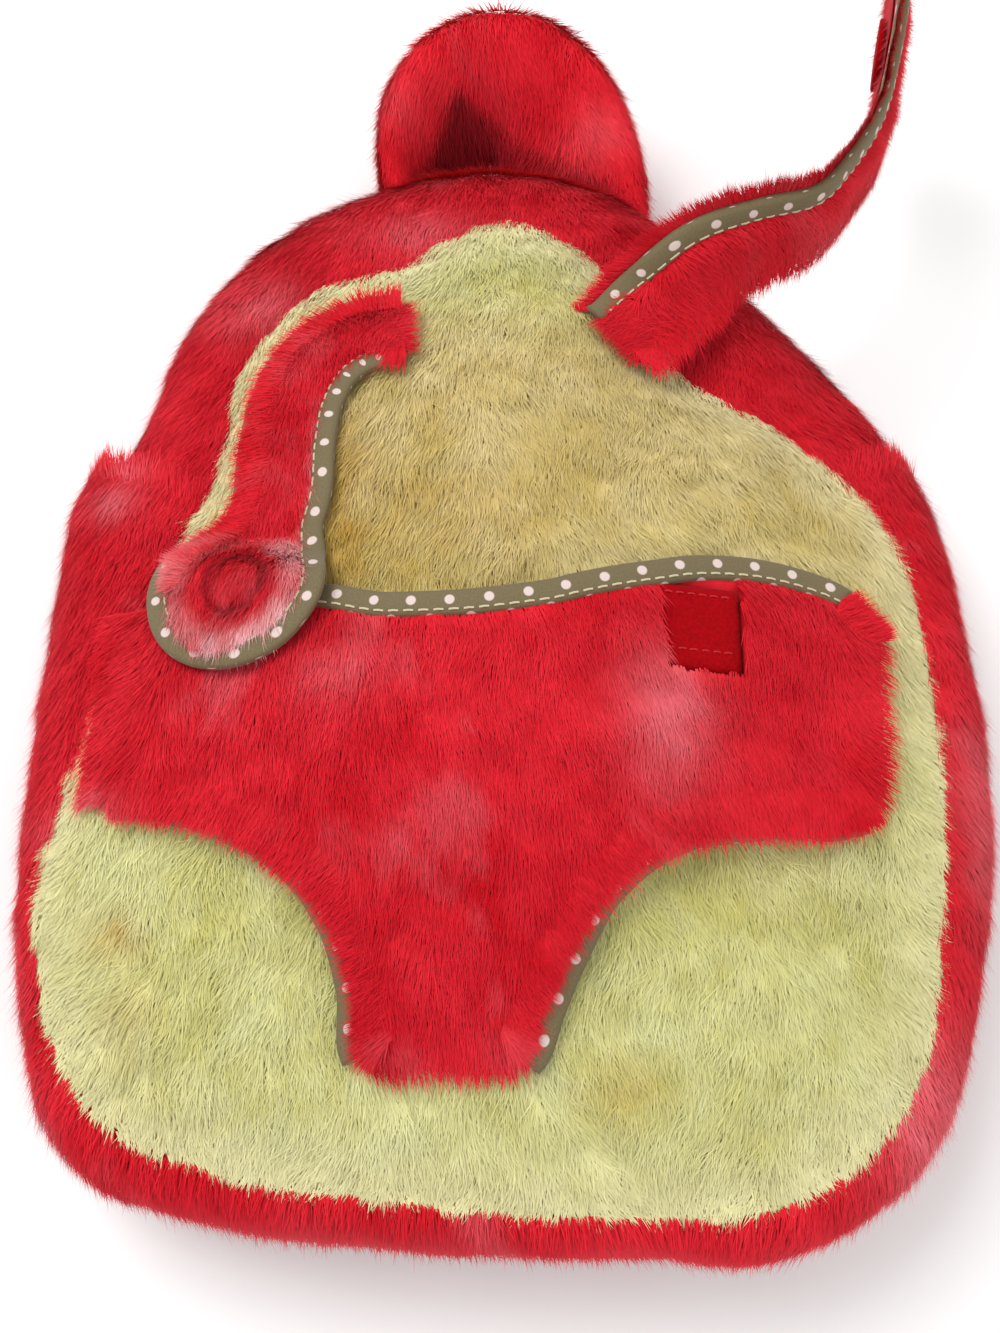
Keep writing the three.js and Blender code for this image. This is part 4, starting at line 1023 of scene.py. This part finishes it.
leftRoot = np.array([bag["halfWidth"] * -0.21, bag["halfHeight"] * 0.555])
leftWay = np.array([patch["left"][0], harness["top"] - patch["left"][1]]) - leftRoot
leftLine, leftRun, _ = smoothCurve(np.stack([
    leftRoot[0] + leftWay[0] * fastenedRows[:, 0] + leftWay[1] * fastenedRows[:, 1],
    leftRoot[1] + leftWay[1] * fastenedRows[:, 0] - leftWay[0] * fastenedRows[:, 1],
    np.zeros(len(fastenedRows)),
], axis=-1))
leftLength = leftRun[-1]


def strapBed(x, y):
    # The panel, and past a smooth slope the top of the harness band.
    topEdge = harnessEdge(0, x / harness["width"] + 0.5)
    above = y - topEdge[..., 1] - tape["width"]
    climbed = 1.0 - smoothRamp(above, 0.0, strap["climb"])
    return frontHeight(x, y) + climbed * (harnessStand(x, y) + harness["wall"]) + harness["gap"]


def leftStrapPlace(flat, height):
    # Run along the centre line and offset to its left, at a height over the bed.
    spot, ahead = alongCurve(leftLine, leftRun, flat[..., 0])
    x = spot[..., 0] - ahead[..., 1] * flat[..., 1]
    y = spot[..., 1] + ahead[..., 0] * flat[..., 1]
    return np.stack([x, y, strapBed(x, y) + height], axis=-1)


freeFlat = freeRows[:, :2] * [bag["halfWidth"], bag["halfHeight"]]
freeRise = float(frontHeight(*freeFlat[0])) + harness["gap"] + strap["drape"] * freeRows[:, 2]
rightLine, rightRun, rightT = smoothCurve(np.column_stack([freeFlat, freeRise]))
rightLength = rightRun[-1]


def turnAbout(vectors, axis, degrees):
    # v cos a + (axis x v) sin a, for v at right angles to the axis.
    angle = np.radians(degrees)[..., None]
    return vectors * np.cos(angle) + np.cross(axis, vectors) * np.sin(angle)


def rightStrapAxes(at):
    # Ahead, beside and out of the centre line at a run, turned about it, and the point there.
    spot, ahead = alongCurve(rightLine, rightRun, at)
    t = np.interp(np.clip(at, 0.0, rightLength), rightRun, rightT)
    turn = readRows(freeRows, t)[..., 3]
    side = unit(np.cross([0.0, 0.0, 1.0], ahead))
    side = turnAbout(side, ahead, turn)
    return ahead, side, np.cross(ahead, side), spot


def rightStrapPlace(flat, height):
    # Beside and above the turned centre line, and never lower than the bag's front.
    _, side, out, spot = rightStrapAxes(flat[..., 0])
    placed = spot + side * flat[..., 1][..., None] + out * height[..., None]
    floor = frontHeight(placed[..., 0], placed[..., 1]) + harness["gap"] + height
    placed[..., 2] = np.maximum(placed[..., 2], floor)
    return placed


def strapHalfWidth(toTip):
    # A round end of radius r, narrowing to the strap over its flare.
    r = strap["endRadius"]
    roundEnd = np.sqrt(np.maximum(r ** 2 - np.maximum(r - toTip, 0.0) ** 2, 0.0))
    narrowing = smoothRamp(toTip, r, r + strap["flare"])
    return blend(roundEnd, strap["width"] / 2, narrowing)


def strapSheet(place, length, along, across, height):
    # Rows closer together towards the round end, and a height that falls by 0.35 s^4 to the edges.
    run = length * (1.0 - (1.0 - along) ** 2)
    aside = 2.0 * across - 1.0
    flat = np.stack([run, aside * strapHalfWidth(length - run)], axis=-1)
    return place(flat, height * (1.0 - 0.35 * aside ** 4))


def strapEdge(length, steps):
    # Down the strap's right side, round its end and back up its left.
    share = np.linspace(0.0, 1.0, steps)
    along = 1.0 - np.abs(2.0 * share - 1.0)
    run = length * (1.0 - (1.0 - along) ** 2)
    return np.stack([run, np.where(share < 0.5, -1.0, 1.0) * strapHalfWidth(length - run)], axis=-1)


def strapEndMiddle():
    # The middle of the fastened strap's round end.
    flat = np.array([[leftLength - strap["endRadius"], 0.0]])
    return leftStrapPlace(flat, np.array([strap["thickness"]]))[0]


def pressedRing(spots):
    # Distance from the middle of the round end, as a share of the pressed ring's radius.
    away = (spots - strapEndMiddle())[..., :2] * [1.05, 1.0]
    return np.linalg.norm(away, axis=-1) / strap["dimpleRadius"]


def shadeLeftStrap(spots, tone):
    # Pale along the right side and the round end's rim, and darker in the pressed groove as painted shade.
    x, y = spots[:, 0], spots[:, 1]
    centre = strapEndMiddle()
    away = pressedRing(spots)
    share = np.linspace(0.3, 0.97, 60)
    side = strapSheet(leftStrapPlace, leftLength, share, np.full(60, 0.86), 0.0)
    side = side[np.argsort(side[:, 1])]
    right = np.clip((x - np.interp(y, side[:, 1], side[:, 0])) / 5.0, 0.0, 1.0)
    right = right * (1.0 - 0.5 * smoothRamp(y, 44.0, 62.0) - 0.5 * smoothRamp(y, 64.0, 84.0))
    lowerRight = smoothRamp(x - centre[0] - 0.6 * (y - centre[1]), -6.0, 6.0)
    rim = smoothRamp(away, 1.35, 1.9) * blend(0.45, 1.0, lowerRight)
    rim = rim * (1.0 - smoothRamp(y - centre[1], 8.0, 22.0))
    pale = np.maximum(right, rim) * (0.75 + 0.5 * cloud(x, y, 5.0, 41))
    tone = blend(tone, linear(242, 198, 200), np.clip(0.85 * pale, 0.0, 1.0)[:, None])
    # Painted shade: darker in the pressed groove.
    return tone * (1.0 - 0.45 * np.exp(-((away - 1.0) / 0.2) ** 2))[:, None]


def growOverTape(edge, place, rows, rng):
    # The fur over a strap's tape, part by part.
    wall, fur = strap["thickness"], strap["pile"]
    return [growOver(edge[start:end], place, wall, near, far, count, fur, rng, level)
            for start, end, near, far, level, count in rows]


def buildLeftStrap():
    rng = np.random.default_rng(403)
    along, across = meshGrid(90, 16)
    face = strap["thickness"] - strap["skin"]
    top, low = (strapSheet(leftStrapPlace, leftLength, along, across, height) for height in (face, 0.0))
    away = pressedRing(top)
    top[..., 2] -= 1.9 * np.exp(-((away - 1.0) / 0.2) ** 2) + 0.5 * (1.0 - smoothRamp(away, 0.8, 1.0))
    addRedCloth("leftHarnessStrapCloth", wallRings(top, low), 0.3, "harness_strap_left", welded=True)
    spots, normals, _, _ = scatter(top, strandCount(strap["leftStrands"]), rng)
    normals = towards(normals, np.array([[0.0, 0.0, 1.0]]))
    comb = np.tile([0.1, -1.0, 0.0], (len(spots), 1))
    trim = 1.0 - 0.45 * np.exp(-((pressedRing(spots) - 1.0) / 0.5) ** 2)
    parts = [(spots, *growPile(spots, normals, comb, strap["pile"], rng, trim))]
    edge = strapEdge(leftLength, strap["edgeSteps"])
    parts += growOverTape(edge, leftStrapPlace, strap["fastenedOver"], rng)
    parts.append(growEnd(top, strap["leftEndStrands"], strap["pile"], rng))
    addRedPile("leftHarnessStrapPile", parts, rng, 0.8, shadeLeftStrap)
    addTape("leftStrapTape", edge, leftStrapPlace, strap["thickness"], "harness_strap_left_binding")


def buildRightStrap():
    rng = np.random.default_rng(404)
    along, across = meshGrid(90, 16)
    faces = (strap["thickness"] - strap["skin"], strap["underSkin"])
    top, low = (strapSheet(rightStrapPlace, rightLength, along, across, height) for height in faces)
    addRedCloth("freeHarnessStrapCloth", wallRings(top, low), 0.3, "harness_strap_right", welded=True)
    parts = []
    for sheet, facing in ((top, 1.0), (low, -1.0)):
        spots, normals, share, _ = scatter(sheet, strandCount(strap["rightStrands"]), rng)
        out = rightStrapAxes(rightLength * (1.0 - (1.0 - share) ** 2))[2]
        comb = np.tile([0.3, 0.2, -1.0], (len(spots), 1))
        normals = towards(normals, out * facing)
        parts.append((spots, *growPile(spots, normals, comb, strap["pile"], rng)))
    edge = strapEdge(rightLength, strap["edgeSteps"])
    parts += growOverTape(edge, rightStrapPlace, strap["freeOver"], rng)
    parts.append(growEnd(top, strap["rightEndStrands"], strap["pile"], rng))
    addRedPile("freeHarnessStrapPile", parts, rng, 0.6)
    addTape("freeStrapTape", edge, rightStrapPlace, strap["thickness"], "harness_strap_right_binding")


def buildTabs():
    # One tab on the left patch, under the fastened strap, and one under the free strap's end.
    low = -patch["sink"] + patch["thickness"] + tape["seamGap"]
    addTab("leftHookTab", *patchAxes(patch["left"]), low, "hook_tab_left")
    at = np.array([rightLength - strap["endRadius"]])
    ahead, side, out, spot = (part[0] for part in rightStrapAxes(at))
    addTab("freeHookTab", np.stack([ahead, side, out]), spot - out * tape["seamGap"], low, "hook_tab_right")


# The gusset: red plush sides, split where the zip runs.
gusset = {
    "skin": 1.5,
    "wall": 6.0,
    "zipHalf": 4.0,
    "zipWidth": 6.4,
    "zipDepths": (1.8, 4.5),
    "lowerStrands": 110000,
    "upperStrands": 80000,
    "endStrands": 1500,
    "pile": {"length": 7.5, "width": 0.52, "lift": 11.0, "uneven": 0.22, "stray": 0.35,
             "relief": 0.9, "tuftSize": 9.0, "loose": 0.14, "looseLift": 18.0},
}


def turnAtHeight(z):
    # 0.5 + asin((rim's height - z) / its rise) / pi.
    return 0.5 + math.asin((bag["rimZ"] - z) / bag["rimRise"]) / math.pi


def gussetBody(name, fromBearing, toBearing, fromTurn, toTurn, swell, steps, across, node):
    # A wall between two bearings and two turns, whose outer face is given back.
    share, turnShare = meshGrid(steps, across)
    bearing = blend(fromBearing, toBearing, share)
    turn = blend(fromTurn, toTurn, turnShare)
    outer = gussetPoint(bearing, turn, gusset["skin"], swell(bearing))
    inner = gussetPoint(bearing, turn, gusset["wall"], swell(bearing))
    addRedCloth(name, wallRings(outer, inner), 0.6, node)
    return outer


def cellArea(grid):
    # Twice a grid's area: the lengths of its cells' crossed diagonals, added up.
    crossed = np.cross(grid[1:, 1:] - grid[:-1, :-1], grid[:-1, 1:] - grid[1:, :-1])
    return np.linalg.norm(crossed, axis=-1).sum()


def gussetPile(name, grids, count, seed, ends=()):
    # The pile is combed down the bag, out over the rim at its sides and on to the back. At the
    # ends that stand past the zip it is combed out over the end.
    rng = np.random.default_rng(seed)
    areas = [cellArea(grid) for grid in grids]
    down = np.array([0.0, -1.0, -0.3])
    pieces = [(grid, count * area / sum(areas), down, 0.25) for grid, area in zip(grids, areas)]
    for grid in ends:
        pieces.append((grid, gusset["endStrands"], unit(grid[0] - grid[-1]).mean(axis=0), 0.4))
    parts = []
    for grid, strands, way, outwards in pieces:
        spots, normals, _, _ = scatter(grid, strandCount(int(strands)), rng)
        outward = unit(spots * [1.0, 1.0, 0.0])
        rise = (spots[:, 2:] - bag["rimZ"]) / bag["rimRise"]
        normals = towards(normals, outward + rise * [0.0, 0.0, 1.0])
        parts.append((spots, *growPile(spots, normals, way + outward * outwards, gusset["pile"], rng)))
    addRedPile(name, parts, rng)


def buildGusset():
    frontTurn = turnAtHeight(bag["zipZ"] + gusset["zipHalf"])
    backTurn = turnAtHeight(bag["zipZ"] - gusset["zipHalf"])
    right, left = bag["zipFrom"], bag["zipTo"]
    lower, upper, behind = (gussetBody(*row) for row in (
        ("lowerGussetCloth", left, right + 360.0, 0.0, 1.0, lowerSwell, 200, 40, "gusset_lower"),
        ("upperFrontGussetCloth", right, left, 0.0, frontTurn, upperSwell, 130, 26, "gusset_upper_front"),
        ("upperBackGussetCloth", right, left, backTurn, 1.0, upperSwell, 130, 16, "gusset_upper_back"),
    ))
    gussetPile("lowerGussetPile", [lower], gusset["lowerStrands"], 405, (lower[:4], lower[:-5:-1]))
    gussetPile("upperGussetPile", [upper, behind], gusset["upperStrands"], 406)


# Back panel: flat and plainly finished, with a shorter pile.
back = {
    "skin": 1.5,
    "strands": 26000,
    "pile": {"length": 8.0, "width": 1.1, "lift": 7.0, "uneven": 0.2, "stray": 0.35,
             "relief": 0.3, "tuftSize": 9.0, "loose": 0.05, "looseLift": 6.0},
}


def buildBack():
    rng = np.random.default_rng(407)
    fullness, turn = meshGrid(30, 145)
    bearing = 360.0 * turn
    reach = fullness * (readOutline(bearing)[1] - shareOf(bag["backInset"], bearing))
    low = bagPoint(bearing, reach, bag["backZ"] + back["skin"])
    high = bagPoint(bearing, reach, bag["backZ"] + bag["backWall"])
    rings = np.concatenate([high[:, :-1], low[::-1, :-1]])
    addRedCloth("backPanelCloth", rings, 0.5, "back_panel", capped=False, welded=True)
    spots, _, _, _ = scatter(low, strandCount(back["strands"]), rng)
    normals, comb = (np.tile(way, (len(spots), 1)) for way in ([0.0, 0.0, -1.0], [0.05, -1.0, 0.0]))
    addRedPile("backPanelPile", [(spots, *growPile(spots, normals, comb, back["pile"], rng))], rng)


# Grab handle: a padded band carried along its centre line and turned about it.
handle = {
    "span": 73.0,
    "rise": 71.0,
    "foot": 181.0,
    "rootRise": 12.0,
    "lift": 17.0,
    "width": 44.0,
    "thickness": 16.0,
    "skin": 1.5,
    "strands": 50000,
    "pile": {"length": 7.5, "width": 0.5, "lift": 11.0, "uneven": 0.22, "stray": 0.35,
             "relief": 0.8, "tuftSize": 9.0, "loose": 0.14, "looseLift": 18.0},
    "paintedShadeTones": (0.36, 0.62),  # painted shade: tone of the loop's inside at its left and right, as shares
    "paintedLightTone": 1.2,  # painted light: tone of its outer face
    "shadeTriangle": ((-16.0, 241.0), (-36.0, 197.0), (46.0, 197.0)),  # corners of the painted-shade triangle: across, and 0.94 y + 0.342 z
}

# Across, along and lift of its centre line as shares, width, thickness, and twist in degrees.
handleRows = np.array([
    [-0.47, -0.02, 0.0, 0.75, 0.85, 80], [-0.47, 0.34, 0.5, 1.0, 0.9, 68],
    [-0.36, 0.62, 0.85, 1.14, 1.0, 56], [-0.16, 0.81, 1.0, 1.26, 1.0, 48],
    [0.07, 0.83, 1.0, 1.3, 1.0, 44], [0.27, 0.68, 0.95, 1.24, 1.0, 40],
    [0.42, 0.45, 0.75, 1.08, 1.0, 34], [0.53, 0.2, 0.4, 0.9, 0.95, 36],
    [0.6, -0.04, 0.0, 0.75, 0.85, 60],
])


def handleCentre(share):
    # Its rows read smoothly: span across, rise along from the foot, and lift from the root.
    row = readRows(handleRows, share)
    return np.stack([
        handle["span"] * row[..., 0],
        handle["foot"] + handle["rise"] * row[..., 1],
        bag["backZ"] + handle["rootRise"] + handle["lift"] * row[..., 2],
    ], axis=-1)


def insideShadeTriangle(x, rise):
    # 1 on the inner side of the painted-shade triangle's two slanting edges, by a ramp of the distance from
    # each.
    top, left, right = handle["shadeTriangle"]
    within = 1.0
    for (fromX, fromRise), (toX, toRise) in ((top, right), (left, top)):
        alongX, alongRise = toX - fromX, toRise - fromRise
        crossed = (x - fromX) * alongRise - (rise - fromRise) * alongX
        within = within * smoothRamp(crossed / math.hypot(alongX, alongRise), -2.0, 2.5)
    return within


def buildHandle():
    rng = np.random.default_rng(408)
    share = np.linspace(0.0, 1.0, 90)
    row = readRows(handleRows, share)
    ahead = unit(handleCentre(np.minimum(share + 0.01, 1.0)) - handleCentre(np.maximum(share - 0.01, 0.0)))
    side = turnAbout(unit(np.cross([0.0, 0.0, 1.0], ahead)), ahead, row[:, 5])
    out = np.cross(ahead, side)
    section = ovalSection(48, 2.6)
    halfWidth = handle["width"] / 2 * row[:, 3] - handle["skin"]
    halfThick = handle["thickness"] / 2 * row[:, 4] - handle["skin"]
    rings = (
        handleCentre(share)[:, None]
        + side[:, None] * (halfWidth[:, None] * section[:, 0])[..., None]
        + out[:, None] * (halfThick[:, None] * section[:, 1])[..., None]
    )
    addRedCloth("grabHandleCloth", rings, 0.6, "grab_handle")
    closed = np.concatenate([rings, rings[:, :1]], axis=1)
    spots, normals, at, _ = scatter(closed, strandCount(handle["strands"]), rng)
    middle = handleCentre(at)
    normals = towards(normals, spots - middle)
    heart = middle * [0.6, 0.0, 1.0] + [0.0, 190.0, 0.0]
    facing = np.einsum("ij,ij->i", normals, unit(heart - spots))
    inside = smoothRamp(facing, 0.1, 0.75)
    comb = np.array([0.0, -1.0, -0.4]) + 0.5 * unit(spots - middle)
    points, shading = growPile(spots, normals, comb, handle["pile"], rng, 1.0 + 0.5 * inside)
    # Painted light and shade: the outer face is brightened, and within the triangle the inner face is
    # darkened where the loop's inside lies in shade.
    within = insideShadeTriangle(spots[:, 0], spots[:, 1] * 0.94 + spots[:, 2] * 0.342)
    tones = blend(handle["paintedLightTone"], 1.05, inside)
    shaded = blend(*handle["paintedShadeTones"], smoothRamp(spots[:, 0], -18.0, 12.0))
    tones = blend(tones, shaded, within * smoothRamp(facing, -0.3, 0.2))[:, None]
    addRedPile("grabHandlePile", [(spots, points, shading)], rng, 0.7, lambda spots, tone: tone * tones)


# Shoulder straps, plain under the bag.
shoulder = {
    "width": 42.0,
    "thickness": 9.0,
    "edge": 4.5,
    "skin": 1.6,
    "strands": 9000,
    "pile": {"length": 7.0, "width": 1.0, "lift": 8.0, "uneven": 0.2, "stray": 0.35,
             "relief": 0.3, "tuftSize": 8.0, "loose": 0.05, "looseLift": 8.0},
    "adjusterBar": 3.0,
    "adjusterSlot": 8.0,
    "adjusterLevel": 3.2,
    "adjusterThickness": 2.7,
    "webbingWidth": 20.0,
    "webbingThickness": 1.4,
    "webbingBearing": 309.0,
}

padRows = np.array([
    [0.24, 0.835, 0.86], [0.32, 0.68, 1.0], [0.4, 0.52, 1.0], [0.48, 0.3, 1.0],
    [0.53, 0.08, 1.0], [0.55, -0.15, 1.0], [0.555, -0.33, 0.9], [0.555, -0.464, 0.62],
])


def padSheet(mirror, along, across, raised):
    # A strip of its width each side of its middle line, whose top falls to its edges by s^4.
    spot = lambda share: readRows(padRows, share)[..., :2] * [mirror * bag["halfWidth"], bag["halfHeight"]]
    ahead = unit(spot(np.minimum(along + 0.01, 1.0)) - spot(np.maximum(along - 0.01, 0.0)))
    aside = (2.0 * across - 1.0) * shoulder["width"] / 2 * readRows(padRows, along)[..., 2]
    flat = spot(along) + np.stack([-ahead[..., 1], ahead[..., 0]], axis=-1) * aside[..., None]
    top = blend(shoulder["thickness"] - shoulder["skin"], shoulder["edge"], (2.0 * across - 1.0) ** 4)
    return np.concatenate([flat, (top if raised else 0.2 + 0.0 * top)[..., None]], axis=-1)


def buildShoulder(side, mirror):
    rng = np.random.default_rng(409 + mirror)
    along, across = meshGrid(70, 17)
    top, low = padSheet(mirror, along, across, True), padSheet(mirror, along, across, False)
    addRedCloth(f"{side}ShoulderStrapCloth", wallRings(top, low), 0.6, f"shoulder_strap_{side}")
    spots, normals, _, _ = scatter(top, strandCount(shoulder["strands"]), rng)
    normals = towards(normals, np.array([[0.0, 0.0, 1.0]]))
    comb = np.array([0.0, -1.0, 0.0]) + unit(spots * [1.0, 0.0, 0.0]) * 0.4
    points, shading = growPile(spots, normals, comb, shoulder["pile"], rng)
    points[..., 2] = np.minimum(points[..., 2], bag["backZ"] + 1.0)
    addRedPile(f"{side}ShoulderStrapPile", [(spots, points, shading)], rng)
    buildWebbing(side, mirror)


def buildWebbing(side, mirror):
    # Ribbed webbing: a flat section carried from its tail through the ladder lock to the back seam.
    bearing = shoulder["webbingBearing"] if mirror > 0 else 540.0 - shoulder["webbingBearing"]
    reach = readOutline(bearing)[1] - shareOf(bag["backInset"], bearing)
    x = mirror * bag["halfWidth"] * padRows[-1, 0]
    bar, slot, gap = shoulder["adjusterBar"], shoulder["adjusterSlot"], tape["seamGap"]
    half = bar * 1.5 + slot
    y = bag["halfHeight"] * padRows[-1, 1] - half - gap
    thick = shoulder["webbingThickness"]
    low = thick / 2 + gap
    level = shoulder["adjusterLevel"] + shoulder["adjusterThickness"] / 2
    high = shoulder["adjusterLevel"] + shoulder["adjusterThickness"] + 2 * gap + thick / 2
    slotMiddle = (bar + slot) / 2
    points = np.array([
        [x, y + half - gap, low], [x, y + half - bar / 2, low], [x, y + slotMiddle, level], [x, y, high],
        [x, y - slotMiddle, level], [x, y - half + bar / 2, low], [x, y - half - bar, low],
        bagPoint(bearing, reach, bag["backZ"] - gap - thick / 2),
    ])
    line, run, _ = smoothCurve(points, 160)
    ahead = unit(np.gradient(line, axis=0))
    aside = unit(np.cross([0.0, 0.0, 1.0], ahead))
    up = np.cross(ahead, aside)
    across = np.linspace(-1.0, 1.0, 9)
    widths = np.concatenate([across, across[::-1]])
    heights = np.concatenate([np.ones(9), -np.ones(9)]) * (1.0 - 0.3 * widths ** 8)
    offsets = widths * shoulder["webbingWidth"] / 2
    rings = (
        line[:, None] + aside[:, None] * offsets[None, :, None]
        + up[:, None] * (heights * thick / 2)[None, :, None]
    )
    uv = np.stack(np.broadcast_arrays(run[:, None], offsets[None, :]), axis=-1)
    band = addBody(f"{side}StrapWebbing", rings, redWeave, uv=uv)
    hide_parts(f"strap_webbing_{side}")


# Zip: a ribbed tape in the slit of the gusset, with moulded teeth on its outer face.
zipTeeth = {"pitch": 2.4, "width": 2.6, "height": 1.3, "length": 1.3, "outerDepth": 2.1}


def buildZip():
    along, across = meshGrid(120, 5)
    gap = tape["seamGap"]
    endGap = math.degrees(gap / bag["halfWidth"])
    turnGap = gap / (bag["rimRise"] * math.pi)
    bearing = blend(bag["zipFrom"] + endGap, bag["zipTo"] - endGap, along)
    reach = gusset["zipWidth"] / 2
    upperTurn = turnAtHeight(bag["zipZ"] + reach) + turnGap
    lowerTurn = turnAtHeight(bag["zipZ"] - reach) - turnGap
    turn = blend(upperTurn, lowerTurn, across)
    outer, inner = (gussetPoint(bearing, turn, depth, upperSwell(bearing)) for depth in gusset["zipDepths"])
    length = np.radians(bearing) * bag["halfWidth"]
    uv = np.stack([length, across * gusset["zipWidth"]], axis=-1)
    chain = addBody("zipTape", wallRings(outer, inner), redWeave, uv=wallRings(uv, uv))
    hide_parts("zip_chain")
    bearing = np.linspace(bag["zipFrom"] + 1.0, bag["zipTo"] - 1.0, 900)
    line = gussetPoint(bearing, turnAtHeight(bag["zipZ"]), zipTeeth["outerDepth"], upperSwell(bearing))
    run = np.concatenate([[0.0], np.cumsum(np.linalg.norm(np.diff(line, axis=0), axis=-1))])
    at = np.arange(2.0, run[-1] - 2.0, zipTeeth["pitch"])
    spot, ahead = alongCurve(line, run, at)
    out = towards(unit(np.cross(ahead, [0.0, 0.0, 1.0])), spot)
    up = np.array([0.0, 0.0, 1.0])
    offset = np.where(np.arange(len(at)) % 2, 0.55, -0.55)[:, None, None]
    corners = []
    for across, lift in ((-0.5, 0.0), (0.5, 0.0), (0.35, 1.0), (-0.35, 1.0)):
        steps = np.array([-0.5, 0.5])[None, :, None] * zipTeeth["length"]
        corner = spot[:, None] + ahead[:, None] * steps + up * (across * zipTeeth["width"] + offset)
        corners.append(corner + out[:, None] * (lift * zipTeeth["height"]))
    teeth = addStitches("zipTeeth", np.stack(corners, axis=2), redPlastic)


# CAD nodes that are carried over with a finish of their own.
def finishNode(name, material):
    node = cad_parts[name]
    node.data.materials.clear()
    node.data.materials.append(material)


for name in ("zip_slider", "zip_pull", "strap_adjuster_left", "strap_adjuster_right"):
    finishNode(name, redPlastic)

buildPanel()
print("front panel done")
buildHarness()
buildHarnessTapes()
addPatch("rightLoopPatch", patch["right"], "closure_patch_right")
addPatch("leftLoopPatch", patch["left"], "closure_patch_left")
buildTabs()
print("harness done")
buildLeftStrap()
buildRightStrap()
print("harness straps done")
buildGusset()
buildBack()
print("gusset and back done")
buildHandle()
for side, mirror in (("left", -1), ("right", 1)):
    buildShoulder(side, mirror)
buildZip()
print("handle, shoulder straps and zip done")

# Floor, lights and camera
view = {
    "elevation": 70.0,
    "distance": 485.0,
    "target": (0.0, -10.0, 60.0),  # in the maker's frame
    "fieldOfView": 48.0,  # degrees, over the picture's height
}


def buildFloor():
    mesh = bpy.data.meshes.new("floor")
    half = 3.0
    corners = [(-half, -half, 0), (half, -half, 0), (half, half, 0), (-half, half, 0)]
    mesh.from_pydata(corners, [], [(0, 1, 2, 3)])
    floor = bpy.data.objects.new("floor", mesh)
    bpy.context.scene.collection.objects.link(floor)
    material, tree, shader = nodeMaterial("paleFloor", 0.9, specular=0.1)
    place = addNode(tree, "ShaderNodeTexCoord")
    noise = addNode(tree, "ShaderNodeTexNoise", Scale=6.0, Detail=2.0)
    tree.links.new(place.outputs["Object"], noise.inputs["Vector"])
    mix = addNode(tree, "ShaderNodeMix", data_type="RGBA")
    mix.inputs["A"].default_value = (0.86, 0.86, 0.86, 1.0)
    mix.inputs["B"].default_value = (0.9, 0.9, 0.9, 1.0)
    tree.links.new(noise.outputs["Fac"], mix.inputs["Factor"])
    tree.links.new(mix.outputs["Result"], shader.inputs["Base Color"])
    mesh.materials.append(material)


def addLight(name, place, aim, size, power):
    # A square lamp turned by the polar angles of the way to its aim.
    lamp = bpy.data.lights.new(name, "AREA")
    lamp.shape = "SQUARE"
    lamp.size = size
    lamp.energy = power
    thing = bpy.data.objects.new(name, lamp)
    bpy.context.scene.collection.objects.link(thing)
    thing.location = place
    toAim = np.array(aim) - np.array(place)
    tilt = math.acos(-toAim[2] / np.linalg.norm(toAim))
    thing.rotation_euler = (tilt, 0.0, math.atan2(toAim[1], toAim[0]) - math.pi / 2)


def buildView():
    world = bpy.data.worlds.new("softRoom")
    world.use_nodes = True
    world.node_tree.nodes["Background"].inputs["Color"].default_value = (1.0, 1.0, 1.0, 1.0)
    world.node_tree.nodes["Background"].inputs["Strength"].default_value = 0.7
    bpy.context.scene.world = world
    addLight("keyLight", (-0.7, 0.5, 1.5), (0.0, 0.0, 0.05), 1.0, 21.0)
    addLight("fillLight", (0.9, -0.7, 1.3), (0.0, 0.0, 0.05), 1.2, 8.0)
    camera = bpy.data.cameras.new("camera")
    camera.sensor_width = 36.0
    camera.lens = 18.0 / math.tan(math.radians(view["fieldOfView"]) / 2)
    camera.clip_start = 0.01
    thing = bpy.data.objects.new("camera", camera)
    bpy.context.scene.collection.objects.link(thing)
    angle = math.radians(view["elevation"])
    target = (np.array(view["target"]) + moved) / 1000.0
    thing.location = target + view["distance"] / 1000.0 * np.array([0.0, -math.cos(angle), math.sin(angle)])
    thing.rotation_euler = (math.pi / 2 - angle, 0.0, 0.0)
    bpy.context.scene.camera = thing
    bpy.context.scene.view_settings.view_transform = "Standard"


buildFloor()
buildView()
print("floor, lights and camera done")
